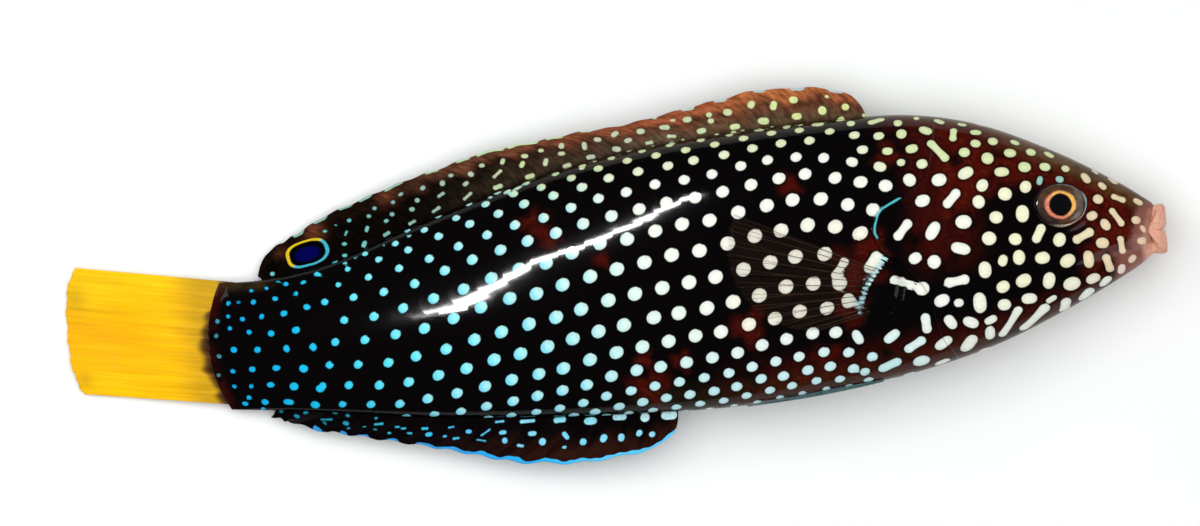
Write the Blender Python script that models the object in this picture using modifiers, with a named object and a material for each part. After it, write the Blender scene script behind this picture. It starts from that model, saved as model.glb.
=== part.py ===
"""A yellowtail tamarin wrasse at life size, lying on its left side as a still model.

Run with: blender --background --python part.py

Frame, in metres: +X towards the snout, +Y towards the back of the fish, +Z up. The right flank
faces up and the left flank rests on the plane z = 0. The origin is under the middle of the fish.
"""

import math

import bmesh
import bpy
from mathutils import Vector

MM = 0.001
GAP = 0.3 * MM

# Body stations from the lips to the root of the tail, in millimetres: how far along the fish, the
# back line, the belly line, half of the thickness, and the height of the middle plane, which sinks
# towards the tail as the limp fish lies down on its side.
STATIONS = {
    "lips": (51.2, 2.75, -1.9, 1.55, 5.0),
    "jaw": (48.4, 4.85, -3.55, 2.6, 5.1),
    "eye": (42.4, 8.5, -6.4, 4.35, 5.2),
    "nape": (35.5, 11.7, -9.1, 5.25, 5.4),
    "gill": (29.0, 13.2, -10.75, 5.65, 5.5),
    "shoulder": (22.0, 13.4, -11.85, 5.75, 5.5),
    "breast": (12.5, 13.1, -12.6, 5.5, 5.25),
    "vent": (4.0, 12.45, -12.6, 5.05, 4.8),
    "flank": (-6.0, 10.75, -12.1, 4.3, 4.05),
    "rump": (-18.0, 7.3, -11.05, 3.1, 2.85),
    "stalk_start": (-27.0, 4.35, -9.8, 2.3, 2.05),
    "stalk": (-33.0, 3.45, -9.0, 1.7, 1.5),
    "tail_root": (-39.2, 3.6, -8.3, 0.75, 0.85),
}
SECTION_FULLNESS = 0.92
BODY_SIDES = 40
FLANK_SHARE = 0.15
HEAD_RINGS = 20
TORSO_RINGS = 24
STALK_RINGS = 6

# Rear edge of the gill covers seen from the side, from the nape down to the throat: (y, x) in mm.
GILL_EDGE = (
    (16.0, 31.8),
    (9.0, 30.6),
    (6.4, 29.0),
    (4.9, 26.0),
    (3.0, 24.7),
    (1.1, 25.1),
    (-1.0, 27.0),
    (-3.0, 28.7),
    (-5.4, 29.4),
    (-7.8, 30.0),
    (-10.0, 31.4),
    (-14.0, 34.0),
)
GILL_LIFT = 0.38 * MM
GILL_LIFT_LENGTH = 8.0 * MM
GILL_TOP = 6.5 * MM
NAPE_TOP = 9.5 * MM

STALK_CUT = -30.0 * MM
TAIL_ROOT_MID = Vector((-38.9, -2.4)) * MM
TAIL_ROOT_HALF = 5.85 * MM
TAIL_ROOT_BOW = 1.5 * MM

# The left flank is pressed flat on the ground, and stands off it where the left pectoral fin lies.
POCKET_HEIGHT = 0.97 * MM
POCKET_FRONT = 29.0 * MM
POCKET_REAR = 8.5 * MM
POCKET_RAMP = 2.2 * MM

EYE_CENTRE = Vector((42.3, 3.4)) * MM
EYE_RADII = Vector((2.3, 2.05, 1.75)) * MM
EYE_PROUD = 0.75 * MM
ORBIT_RIM = 0.32 * MM
NOSTRILS = (Vector((46.3, 4.0)) * MM, Vector((47.5, 3.5)) * MM)
NOSTRIL_RADIUS = 0.24 * MM
NOSTRIL_RIM = 0.13 * MM

LIP_STEPS = 17
LIP_SIDES = 10
LIP_SWING = math.radians(100)
LIP_HALF_WIDTH = 1.75 * MM
LIP_DEPTH = 1.9 * MM
# Each lip: front of its core line, height of that line in front and at the mouth's corner, and
# half of its thickness and of its height in front.
UPPER_LIP = {"front": 51.7, "middle": 1.65, "corner": -0.32, "thick": 0.65, "high": 1.0}
LOWER_LIP = {"front": 51.35, "middle": -0.97, "corner": -1.5, "thick": 0.62, "high": 0.85}
LIP_THIN = 0.45
LIP_LOW = 0.62
MOUTH_CENTRE = Vector((50.4, 0.2)) * MM
MOUTH_RADII = Vector((2.2, 0.42, 1.2)) * MM

# The fleshy base of each pectoral fin, and the fan of rays round its rear edge.
PAD_CENTRE = Vector((24.9, -3.1)) * MM
PAD_RADII = Vector((1.9, 2.7, 1.25)) * MM
PAD_SUNK = 0.35 * MM
FAN_AXIS = math.radians(163)
FAN_ROOT_FROM = math.radians(110)
FAN_ROOT_TO = math.radians(228)
FAN_TIP_FROM = math.radians(147)
FAN_TIP_TO = math.radians(207)
FAN_LONG = 15.8 * MM
FAN_SHORT = 6.8 * MM
FAN_FALL = 1.8
PECTORAL_RAYS = 13

# Outer edges of the unpaired fins, from front to rear: (x, y) in mm.
DORSAL_EDGE = (
    (24.6, 15.3),
    (21.0, 16.4),
    (16.0, 16.6),
    (10.0, 15.95),
    (0.0, 14.9),
    (-10.0, 13.3),
    (-20.0, 10.9),
    (-27.0, 8.45),
    (-31.5, 6.1),
    (-33.5, 4.2),
)
ANAL_EDGE = (
    (4.6, -14.3),
    (2.2, -15.85),
    (-2.0, -16.5),
    (-6.0, -16.55),
    (-10.0, -16.05),
    (-15.0, -14.85),
    (-20.0, -13.55),
    (-26.0, -12.2),
    (-31.0, -10.5),
    (-33.6, -9.6),
)
DORSAL_ROOT = (25.1 * MM, -29.4 * MM)
ANAL_ROOT = (4.7 * MM, -29.4 * MM)
DORSAL_RAYS = 21
ANAL_RAYS = 15
DORSAL_SWEEP = (1.3 * MM, 4.1 * MM)
ANAL_SWEEP = (0.5 * MM, 4.2 * MM)
SWEEP_RISE = 0.3
DORSAL_DROOP = 0.36
ANAL_DROOP = 0.26
RAY_BOW = 0.10
RIDGE_FIN_ROWS = 5

TAIL_RAYS = 14
TAIL_END_TOP = Vector((-50.3, 6.25)) * MM
TAIL_END_BOTTOM = Vector((-50.6, -5.65)) * MM
TAIL_END_BULGE = 1.75 * MM
TAIL_CORNER = 5.0
TAIL_HEIGHTS = (0.85 * MM, 0.36 * MM)

PELVIC_ROOT = 24.3 * MM
PELVIC_LENGTH = 14.0 * MM
PELVIC_RAYS = 6
PELVIC_ANGLE = math.radians(170)
PELVIC_SPREAD = math.radians(11)
PELVIC_LIFT = 0.35 * MM

MEMBRANE = 0.5 * MM
FIN_ROOT = 0.95 * MM
RAY_RIDGE = 0.34 * MM
TIP_SHARE = 0.72
SCALLOP = 0.12 * MM
COLUMNS_PER_RAY = 3

COLOURS = {
    "skin_dark": ((0.030, 0.014, 0.010), 0.28),
    "snout_pink": ((0.62, 0.27, 0.20), 0.35),
    "fin_rust": ((0.21, 0.068, 0.035), 0.35),
    "fin_black": ((0.020, 0.016, 0.018), 0.35),
    "fin_yellow": ((0.86, 0.50, 0.02), 0.35),
    "fin_clear": ((0.45, 0.40, 0.33), 0.30),
    "eye_gold": ((0.50, 0.22, 0.08), 0.12),
}


def clear_scene():
    """Removes every object of the startup scene."""
    for obj in list(bpy.data.objects):
        bpy.data.objects.remove(obj)


def material(name):
    """The Principled material of that name in COLOURS, made on first use."""
    found = bpy.data.materials.get(name)
    if found:
        return found
    colour, roughness = COLOURS[name]
    made = bpy.data.materials.new(name)
    made.use_nodes = True
    shader = made.node_tree.nodes["Principled BSDF"]
    shader.inputs["Base Color"].default_value = (*colour, 1)
    shader.inputs["Roughness"].default_value = roughness
    made.diffuse_color = (*colour, 1)
    return made


def collection(name):
    """The collection of that name, made on first use."""
    found = bpy.data.collections.get(name)
    if not found:
        found = bpy.data.collections.new(name)
        bpy.context.scene.collection.children.link(found)
    return found


def add_object(name, mesh_builder, group="wrasse"):
    """Turns a bmesh into a named object in a collection."""
    mesh = bpy.data.meshes.new(name)
    mesh_builder.to_mesh(mesh)
    mesh_builder.free()
    obj = bpy.data.objects.new(name, mesh)
    collection(group).objects.link(obj)
    if group == "cutters":
        obj.hide_render = True
        obj.display_type = "WIRE"
    return obj


def smooth_step(low, high, value):
    """0 below low, 1 above high, and an even S between them. Low may be the larger."""
    share = min(1.0, max(0.0, (value - low) / (high - low)))
    return share * share * (3 - 2 * share)


def mix(a, b, share):
    """The value that share of the way from a to b."""
    return a + (b - a) * share


def curve_through(points, at):
    """Height of the smooth curve through (place, height) points at a place, ends held straight."""
    points = sorted(points)
    places = [p[0] for p in points]
    heights = [p[1] for p in points]
    last = len(points) - 1
    slopes = []
    for i in range(last + 1):
        before, after = max(i - 1, 0), min(i + 1, last)
        slopes.append((heights[after] - heights[before]) / (places[after] - places[before]))
    at = min(max(at, places[0]), places[last])
    i = max(k for k in range(last) if places[k] <= at)
    span = places[i + 1] - places[i]
    t = (at - places[i]) / span
    return (
        heights[i] * (1 + 2 * t) * (1 - t) ** 2
        + heights[i + 1] * t * t * (3 - 2 * t)
        + span * (slopes[i] * t * (1 - t) ** 2 - slopes[i + 1] * t * t * (1 - t))
    )


def station_curve(column):
    """The (place, value) points of one column of STATIONS, in metres."""
    return [(row[0] * MM, row[column] * MM) for row in STATIONS.values()]


BACK, BELLY, HALF_WIDTH, MIDDLE = (station_curve(column) for column in (1, 2, 3, 4))


def back_line(x):
    """Height of the back in the side view."""
    return curve_through(BACK, x)


def belly_line(x):
    """Height of the belly in the side view."""
    return curve_through(BELLY, x)


def middle_height(x):
    """Height of the fish's middle plane above the ground."""
    return curve_through(MIDDLE, x)


def gill_edge(y):
    """How far along the fish the rear edge of the gill covers is at a height in the side view."""
    return curve_through([(a * MM, b * MM) for a, b in GILL_EDGE], y)


def gill_gap(y):
    """The gill slit's width along X that leaves GAP square to the edge."""
    step = 0.2 * MM
    slope = (gill_edge(y + step) - gill_edge(y - step)) / (2 * step)
    return GAP * math.hypot(1, slope)


def tail_root(y):
    """How far along the fish the rounded end of the tail stalk is."""
    share = (y - TAIL_ROOT_MID.y) / TAIL_ROOT_HALF
    return TAIL_ROOT_MID.x + TAIL_ROOT_BOW * share * share


def resting_level(x):
    """How far the pressed flank stands off the ground."""
    front = smooth_step(POCKET_FRONT + POCKET_RAMP, POCKET_FRONT, x)
    rear = smooth_step(POCKET_REAR - POCKET_RAMP, POCKET_REAR, x)
    return POCKET_HEIGHT * front * rear


def gill_lift(x, y):
    """How far the gill cover stands out beside the body at a place in the side view."""
    ahead = smooth_step(GILL_LIFT_LENGTH, 0, x - gill_edge(y))
    return GILL_LIFT * ahead * smooth_step(NAPE_TOP, GILL_TOP, y)


def section_point(x, angle, on_head=False):
    """Point of the body's surface: angle 0 is the back, 90 degrees the right flank, 180 the belly."""
    top, bottom = back_line(x), belly_line(x)
    y = (top + bottom) / 2 + (top - bottom) / 2 * math.cos(angle)
    width = curve_through(HALF_WIDTH, x)
    if on_head:
        width += gill_lift(x, y)
    side = math.sin(angle)
    z = middle_height(x) + width * math.copysign(abs(side) ** SECTION_FULLNESS, side)
    return Vector((x, y, max(z, resting_level(x))))


def flank_point(x, y, side, on_head=False):
    """Point of the flank over a place in the side view: side is 1 for the right one, -1 for the left."""
    top, bottom = back_line(x), belly_line(x)
    share = (y - (top + bottom) / 2) / ((top - bottom) / 2)
    return section_point(x, side * math.acos(min(1.0, max(-1.0, share))), on_head)


def flank_normal(x, angle):
    """Direction straight out of the body's surface."""
    step = 1e-5
    along = section_point(x + step, angle) - section_point(x - step, angle)
    around = section_point(x, angle + step) - section_point(x, angle - step)
    return around.cross(along).normalized()


def fitted_ring(front, rear, share, on_head):
    """A ring between two cuts that are functions of y, share of the way from front to rear."""
    ring = []
    for k in range(BODY_SIDES):
        angle = 2 * math.pi * k / BODY_SIDES
        angle += FLANK_SHARE * math.sin(2 * angle)
        x = mix(front(0), rear(0), share)
        for _ in range(12):
            y = section_point(x, angle).y
            x = mix(front(y), rear(y), share)
        ring.append(section_point(x, angle, on_head))
    return ring


def lofted(rings):
    """Closed loft through body rings, its ends walled straight through from one flank to the other."""
    builder = bmesh.new()
    rows = [[builder.verts.new(point) for point in ring] for ring in rings]
    sides = len(rows[0])
    for ahead, behind in zip(rows, rows[1:]):
        for k in range(sides):
            after = (k + 1) % sides
            builder.faces.new((ahead[k], ahead[after], behind[after], behind[k]))
    for row in (rows[0], rows[-1]):
        for k in range(sides // 2):
            corners = [row[k], row[k + 1], row[-k - 1], row[-k % sides]]
            builder.faces.new(list(dict.fromkeys(corners)))
    bmesh.ops.recalc_face_normals(builder, faces=builder.faces)
    return builder


def ellipsoid(centre, radii, turn=0.0, segments=16):
    """Closed ellipsoid turned about Z."""
    builder = bmesh.new()
    bmesh.ops.create_uvsphere(builder, u_segments=segments, v_segments=segments // 2 + 2, radius=1)
    bmesh.ops.scale(builder, vec=radii, verts=builder.verts)
    spin = Vector((math.cos(turn), math.sin(turn)))
    for vert in builder.verts:
        x, y, z = vert.co
        vert.co = Vector(centre) + Vector((x * spin.x - y * spin.y, x * spin.y + y * spin.x, z))
    return builder


def ring_tube(centre, radius_x, radius_y, thickness, normal, segments=20, sides=6):
    """Closed oval tube lying in the plane square to normal."""
    tilt = Vector((0, 0, 1)).rotation_difference(normal)
    rings = []
    for k in range(segments):
        turn = 2 * math.pi * k / segments
        outward = Vector((math.cos(turn), math.sin(turn), 0))
        core = Vector((radius_x * outward.x, radius_y * outward.y, 0))
        ring = []
        for j in range(sides):
            roll = 2 * math.pi * j / sides
            point = core + thickness * (math.cos(roll) * outward + math.sin(roll) * Vector((0, 0, 1)))
            ring.append(centre + tilt @ point)
        rings.append(ring)
    builder = bmesh.new()
    rows = [[builder.verts.new(point) for point in ring] for ring in rings]
    for k in range(segments):
        here, there = rows[k], rows[(k + 1) % segments]
        for j in range(sides):
            after = (j + 1) % sides
            builder.faces.new((here[j], here[after], there[after], there[j]))
    bmesh.ops.recalc_face_normals(builder, faces=builder.faces)
    return builder


def settle(obj):
    """Applies an object's modifiers to its mesh."""
    bpy.context.view_layer.update()
    graph = bpy.context.evaluated_depsgraph_get()
    mesh = bpy.data.meshes.new_from_object(obj.evaluated_get(graph))
    obj.modifiers.clear()
    obj.data = mesh


def keep_largest(obj):
    """Keeps only the largest closed surface of an object."""
    builder = bmesh.new()
    builder.from_mesh(obj.data)
    islands = []
    waiting = set(builder.verts)
    while waiting:
        island = set()
        front = [waiting.pop()]
        while front:
            vert = front.pop()
            island.add(vert)
            near = {edge.other_vert(vert) for edge in vert.link_edges} & waiting
            waiting -= near
            front.extend(near)
        islands.append(island)
    largest = max(islands, key=len)
    scraps = [vert for island in islands if island is not largest for vert in island]
    bmesh.ops.delete(builder, geom=scraps, context="VERTS")
    builder.to_mesh(obj.data)
    builder.free()


def join_pieces(obj, group):
    """Unites an object with every closed mesh in a collection, and removes them."""
    union = obj.modifiers.new("join", "BOOLEAN")
    union.operation = "UNION"
    union.operand_type = "COLLECTION"
    union.collection = bpy.data.collections[group]
    union.solver = "EXACT"
    settle(obj)
    for piece in list(bpy.data.collections[group].objects):
        bpy.data.objects.remove(piece)
    bpy.data.collections.remove(bpy.data.collections[group])
    keep_largest(obj)


def cut(obj, cutters):
    """Cuts closed meshes out of an object."""
    for cutter in cutters:
        bite = obj.modifiers.new(cutter.name, "BOOLEAN")
        bite.operation = "DIFFERENCE"
        bite.object = cutter
        bite.solver = "EXACT"
    settle(obj)
    keep_largest(obj)


def round_off(obj, angle=40):
    """Shades an object smooth, with sharp edges kept."""
    obj.data.shade_smooth()
    obj.data.set_sharp_from_angle(angle=math.radians(angle))


def lip_rings(lip, swell=0.0):
    """Rings of a lip that wraps the snout from the left corner of the mouth to the right one."""
    rings = []
    for step in range(LIP_STEPS):
        t = mix(-1, 1, step / (LIP_STEPS - 1))
        swing = t * LIP_SWING
        x = lip["front"] * MM - LIP_DEPTH * (1 - math.cos(swing))
        y = mix(lip["middle"], lip["corner"], abs(t) ** 1.6) * MM
        z = middle_height(x) + LIP_HALF_WIDTH * math.sin(swing)
        outward = Vector((math.cos(swing), 0, math.sin(swing)))
        thick = lip["thick"] * MM * (1 - LIP_THIN * t * t) + swell
        high = lip["high"] * MM * (1 - LIP_LOW * t * t) + swell
        core = Vector((x, y, z))
        if swell:
            core += Vector((-math.sin(swing), 0, math.cos(swing))) * swell * t
        ring = []
        for k in range(LIP_SIDES):
            roll = 2 * math.pi * k / LIP_SIDES
            ring.append(core + outward * thick * math.cos(roll) + Vector((0, high * math.sin(roll), 0)))
        rings.append(ring)
    return rings


def lip_mesh(lip, swell=0.0):
    """Closed lip with domed ends."""
    rings = lip_rings(lip, swell)
    builder = bmesh.new()
    rows = [[builder.verts.new(point) for point in ring] for ring in rings]
    for here, there in zip(rows, rows[1:]):
        for k in range(LIP_SIDES):
            after = (k + 1) % LIP_SIDES
            builder.faces.new((here[k], here[after], there[after], there[k]))
    for row, inner in ((rows[0], rings[1]), (rows[-1], rings[-2])):
        middle = sum((vert.co for vert in row), Vector()) / LIP_SIDES
        beyond = middle - sum(inner, Vector()) / LIP_SIDES
        tip = builder.verts.new(middle + beyond.normalized() * 0.2 * MM)
        for k in range(LIP_SIDES):
            builder.faces.new((row[k], row[(k + 1) % LIP_SIDES], tip))
    bmesh.ops.recalc_face_normals(builder, faces=builder.faces)
    return builder


def eye_middle(side):
    """Centre of an eyeball, sunk so that it stands a little proud of the head."""
    surface = flank_point(EYE_CENTRE.x, EYE_CENTRE.y, side, on_head=True)
    return surface + Vector((0, 0, side * (EYE_PROUD - EYE_RADII.z)))


def head_normal(place, side):
    """Direction straight out of the head over a place in the side view."""
    step = 0.3 * MM
    middle = flank_point(place.x, place.y, side, True)
    along = flank_point(place.x + step, place.y, side, True) - middle
    across = flank_point(place.x, place.y + step, side, True) - middle
    return along.cross(across).normalized() * side


def build_head():
    """Head with gill covers, orbit rims, eye sockets, nostrils and the seat of the lips."""

    def snout(_y):
        return STATIONS["lips"][0] * MM

    rings = [
        fitted_ring(snout, gill_edge, step / HEAD_RINGS, on_head=True)
        for step in range(HEAD_RINGS + 1)
    ]
    head = add_object("head", lofted(rings))
    head.data.materials.append(material("skin_dark"))
    for side in (1, -1):
        place = EYE_CENTRE
        rim_centre = flank_point(place.x, place.y, side, True)
        rim = ring_tube(
            rim_centre, EYE_RADII.x, EYE_RADII.y, ORBIT_RIM, head_normal(place, side)
        )
        add_object(f"orbit_rim_{side}", rim, "head_pieces")
        for k, place in enumerate(NOSTRILS):
            around = ring_tube(
                flank_point(place.x, place.y, side, True),
                NOSTRIL_RADIUS + NOSTRIL_RIM / 2,
                NOSTRIL_RADIUS + NOSTRIL_RIM / 2,
                NOSTRIL_RIM,
                head_normal(place, side),
                segments=10,
            )
            add_object(f"nostril_rim_{side}_{k}", around, "head_pieces")
    join_pieces(head, "head_pieces")
    cutters = []
    for side in (1, -1):
        socket = ellipsoid(eye_middle(side), EYE_RADII + Vector((GAP, GAP, GAP)), segments=20)
        cutters.append(add_object(f"socket_cutter_{side}", socket, "cutters"))
        for k, place in enumerate(NOSTRILS):
            radius = NOSTRIL_RADIUS
            pit = ellipsoid(
                flank_point(place.x, place.y, side, True), Vector((radius, radius, 2 * radius)), segments=8
            )
            cutters.append(add_object(f"nostril_cutter_{side}_{k}", pit, "cutters"))
    for name, lip in (("upper", UPPER_LIP), ("lower", LOWER_LIP)):
        cutters.append(add_object(f"{name}_lip_cutter", lip_mesh(lip, swell=GAP), "cutters"))
    mouth = Vector((*MOUTH_CENTRE, middle_height(MOUTH_CENTRE.x)))
    cutters.append(add_object("mouth_cutter", ellipsoid(mouth, MOUTH_RADII), "cutters"))
    cut(head, cutters)
    round_off(head)


def build_lips():
    """The two thick lips, which meet at the corners of the mouth."""
    for name, lip in (("upper_lip", UPPER_LIP), ("lower_lip", LOWER_LIP)):
        obj = add_object(name, lip_mesh(lip))
        obj.data.materials.append(material("snout_pink"))
        round_off(obj)


def build_eyes():
    """One domed eyeball in each socket."""
    for name, side in (("eye_right", 1), ("eye_left", -1)):
        obj = add_object(name, ellipsoid(eye_middle(side), EYE_RADII, segments=20))
        obj.data.materials.append(material("eye_gold"))
        round_off(obj)


def build_torso():
    """Trunk from the gill slit to the tail stalk, with the fleshy pads of the pectoral fins."""

    def behind_gill(y):
        return gill_edge(y) - gill_gap(y)

    def stalk_cut(_y):
        return STALK_CUT + GAP / 2

    rings = [
        fitted_ring(behind_gill, stalk_cut, step / TORSO_RINGS, on_head=False)
        for step in range(TORSO_RINGS + 1)
    ]
    torso = add_object("torso", lofted(rings))
    torso.data.materials.append(material("skin_dark"))
    for side in (1, -1):
        seat = flank_point(PAD_CENTRE.x, PAD_CENTRE.y, side) - Vector((0, 0, side * PAD_SUNK))
        add_object(f"pad_{side}", ellipsoid(seat, PAD_RADII, FAN_AXIS), "torso_pieces")
    join_pieces(torso, "torso_pieces")
    round_off(torso)


def build_tail_stalk():
    """Narrow stalk that ends in a rounded paddle at the root of the tail fin."""

    def stalk_cut(_y):
        return STALK_CUT - GAP / 2

    rings = [
        fitted_ring(stalk_cut, tail_root, step / STALK_RINGS, on_head=False)
        for step in range(STALK_RINGS + 1)
    ]
    stalk = add_object("tail_stalk", lofted(rings))
    stalk.data.materials.append(material("skin_dark"))
    round_off(stalk)


def fin_sheet(
    name, place, rays, rows, skin, root=FIN_ROOT, ridge=RAY_RIDGE, columns=COLUMNS_PER_RAY
):
    """Thin fin whose rays are ridges raised in its own two faces.

    place(u, v) is its middle surface: u runs over the rays, v from the root to the outer edge.
    """
    across = (rays - 1) * columns + 2
    builder = bmesh.new()
    bmesh.ops.create_grid(builder, x_segments=across, y_segments=rows, size=1)
    thickest = root + ridge
    shares = {}
    for vert in builder.verts:
        column = round((vert.co.x + 1) / 2 * across)
        v = (vert.co.y + 1) / 2
        on_ray = (column - 1) % columns == 0
        u = min(max((column - 1) / (across - 2), 0.0), 1.0)
        if column in (0, across):
            u += (-0.25 if column == 0 else 0.25) / (rays - 1)
        length = (place(u, 1) - place(u, 0)).length
        reach = v if on_ray else v * (1 - SCALLOP / length)
        thick = mix(root, MEMBRANE, min(1.0, 2.2 * v))
        if on_ray:
            thick += ridge * (1 - 0.6 * v)
        elif v > 0.99:
            thick *= TIP_SHARE
        shares[vert.index] = thick / thickest
        vert.co = place(u, reach)
    bmesh.ops.triangulate(builder, faces=builder.faces, quad_method="FIXED")
    obj = add_object(name, builder)
    group = obj.vertex_groups.new(name="thickness")
    for index, share in shares.items():
        group.add([index], share, "REPLACE")
    shell = obj.modifiers.new("thickness", "SOLIDIFY")
    shell.thickness = thickest
    shell.offset = 0
    shell.vertex_group = group.name
    shell.thickness_vertex_group = 0
    obj.data.materials.append(material(skin))
    return obj


def bowed(start, end, outward, v):
    """Point on a ray that bows forward and outward between its root and its tip."""
    along = end - start
    square = Vector((abs(along.y), outward * abs(along.x), 0))
    return start + along * v + square * RAY_BOW * 4 * v * (1 - v)


def build_ridge_fin(name, roots, edge, sweep, line, outward, droop, rays, skin):
    """Long fin on the back or the belly, with its rays swept to the rear.

    outward is 1 on the back and -1 on the belly, and line is the body's outline there.
    """
    edge_points = [(x * MM, y * MM) for x, y in edge]

    def place(u, v):
        share = min(max(u, 0.0), 1.0)
        x = mix(roots[0], roots[1], u)
        start = Vector((x, line(x) + outward * GAP, middle_height(x)))
        tip_x = x - mix(sweep[0], sweep[1], min(1.0, share / SWEEP_RISE))
        end = Vector((tip_x, curve_through(edge_points, tip_x), 0))
        end.z = start.z - droop * abs(end.y - start.y)
        return bowed(start, end, outward, v)

    return fin_sheet(name, place, rays, RIDGE_FIN_ROWS, skin)


def build_tail_fin():
    """Broad, square-cut tail fin that lies almost on the ground."""

    def place(u, v):
        y = mix(TAIL_ROOT_MID.y + TAIL_ROOT_HALF, TAIL_ROOT_MID.y - TAIL_ROOT_HALF, u)
        start = Vector((tail_root(y) - GAP, y, TAIL_HEIGHTS[0]))
        end = TAIL_END_TOP.lerp(TAIL_END_BOTTOM, u)
        bulge = TAIL_END_BULGE * (1 - min(1.0, abs(2 * u - 1)) ** TAIL_CORNER)
        end = Vector((end.x - bulge, end.y, TAIL_HEIGHTS[1]))
        point = start.lerp(end, v)
        point.z = mix(TAIL_HEIGHTS[0], TAIL_HEIGHTS[1], min(1.0, 1.6 * v))
        return point

    return fin_sheet("tail_fin", place, TAIL_RAYS, 7, "fin_yellow", root=1.05 * MM)


def build_pectoral_fin(name, side):
    """Clear fan of a flank: the right one lies on the skin, the left one on the ground."""

    def place(u, v):
        root_turn = mix(FAN_ROOT_FROM, FAN_ROOT_TO, u) - FAN_AXIS
        rim = Vector((PAD_RADII.x * 0.9 + GAP, PAD_RADII.y * 0.9 + GAP))
        local = Vector((rim.x * math.cos(root_turn), rim.y * math.sin(root_turn)))
        axis = Vector((math.cos(FAN_AXIS), math.sin(FAN_AXIS)))
        across = Vector((-axis.y, axis.x))
        start = PAD_CENTRE + axis * local.x + across * local.y
        tip_turn = mix(FAN_TIP_FROM, FAN_TIP_TO, u)
        reach = mix(FAN_LONG, FAN_SHORT, min(max(u, 0.0), 1.0) ** FAN_FALL)
        end = PAD_CENTRE + reach * Vector((math.cos(tip_turn), math.sin(tip_turn)))
        flat = start.lerp(end, v)
        half = (MEMBRANE + RAY_RIDGE) / 2
        if side > 0:
            return flank_point(flat.x, flat.y, 1) + Vector((0, 0, GAP + half + 0.1 * MM))
        return Vector((flat.x, flat.y, half / 2 + 0.1 * MM))

    ridge = RAY_RIDGE if side > 0 else 0.06 * MM
    return fin_sheet(name, place, PECTORAL_RAYS, 8, "fin_clear", root=MEMBRANE, ridge=ridge, columns=2)


def build_pelvic_fin(name, side):
    """Small folded fin that lies back along its side of the belly."""

    def place(u, v):
        x = PELVIC_ROOT - PELVIC_LENGTH * v
        open_share = math.sin(math.pi * mix(0.16, 0.93, v)) * mix(1.0, 0.55, v)
        angle = side * (PELVIC_ANGLE - (u - 0.5) * 2 * PELVIC_SPREAD * open_share)
        offset = GAP + (MEMBRANE + RAY_RIDGE) / 2 + PELVIC_LIFT * v * v
        return section_point(x, angle) + flank_normal(x, angle) * offset

    return fin_sheet(name, place, PELVIC_RAYS, 9, "fin_clear", root=MEMBRANE, ridge=0.2 * MM, columns=2)


def main():
    """Builds every named part of the fish."""
    clear_scene()
    build_head()
    build_lips()
    build_eyes()
    build_torso()
    build_tail_stalk()
    build_ridge_fin(
        "dorsal_fin",
        roots=DORSAL_ROOT,
        edge=DORSAL_EDGE,
        sweep=DORSAL_SWEEP,
        line=back_line,
        outward=1,
        droop=DORSAL_DROOP,
        rays=DORSAL_RAYS,
        skin="fin_rust",
    )
    build_ridge_fin(
        "anal_fin",
        roots=ANAL_ROOT,
        edge=ANAL_EDGE,
        sweep=ANAL_SWEEP,
        line=belly_line,
        outward=-1,
        droop=ANAL_DROOP,
        rays=ANAL_RAYS,
        skin="fin_black",
    )
    build_tail_fin()
    for name, side in (("right", 1), ("left", -1)):
        build_pectoral_fin(f"pectoral_fin_{name}", side)
        build_pelvic_fin(f"pelvic_fin_{name}", side)


main()
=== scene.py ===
"""Looks of a life-size yellowtail tamarin wrasse that lies on its left side on a pale floor.

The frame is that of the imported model: +X towards the snout, +Y towards the back, +Z up, in metres.
Sizes in the classes below are in millimetres unless they say otherwise.
"""

import logging
from dataclasses import dataclass, field
from enum import Enum
from functools import reduce
from math import atan2, cos, degrees, hypot, pi, radians, sin
from typing import Callable, Iterable, Sequence

import bmesh
import bpy
import numpy as np
from mathutils import Matrix, Vector


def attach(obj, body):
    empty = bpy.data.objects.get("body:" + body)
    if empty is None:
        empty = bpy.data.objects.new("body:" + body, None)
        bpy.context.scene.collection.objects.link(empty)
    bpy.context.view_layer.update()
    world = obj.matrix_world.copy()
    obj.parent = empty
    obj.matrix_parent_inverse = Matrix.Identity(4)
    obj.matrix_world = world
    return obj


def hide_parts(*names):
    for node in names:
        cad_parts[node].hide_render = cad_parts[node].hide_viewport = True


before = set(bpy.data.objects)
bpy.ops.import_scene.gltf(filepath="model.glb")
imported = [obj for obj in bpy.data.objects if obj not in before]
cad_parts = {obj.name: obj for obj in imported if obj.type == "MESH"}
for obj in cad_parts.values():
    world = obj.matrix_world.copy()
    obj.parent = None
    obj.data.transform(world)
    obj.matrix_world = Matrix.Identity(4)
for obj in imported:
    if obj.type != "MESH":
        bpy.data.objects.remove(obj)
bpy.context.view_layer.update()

MM = 0.001
SEED = 11
# The flat unwrap of the skin in millimetres: its length, its height and the room behind the origin
SHEET_LENGTH, SHEET_HEIGHT, SHEET_REAR = 100, 84, 45
# How far apart a mark and a vertex can be in millimetres, and the distance given where no mark is near
MARK_REACH, FAR_OFF = 3, 9.0

logging.basicConfig(level=logging.INFO, format="%(message)s")
log = logging.getLogger("wrasse")

Array = np.ndarray
Colour = tuple[float, float, float]
Pair = tuple[float, float]
Path = tuple[Pair, ...]
Spots = tuple["Spot", ...]
Thing = bpy.types.Object
Socket = bpy.types.NodeSocket
Finish = bpy.types.Material

EYE_CENTRE: Pair = (42.3, 3.4)


class Flank(Enum):
    """Side of the fish: the right flank faces up, the left one rests on the floor."""

    RIGHT = 1
    LEFT = -1


class RayKind(Enum):
    """Kinds of fin ray."""

    SPINE = "spine"
    SOFT = "soft"
    FINE = "fine"


# Shape of the body


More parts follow.
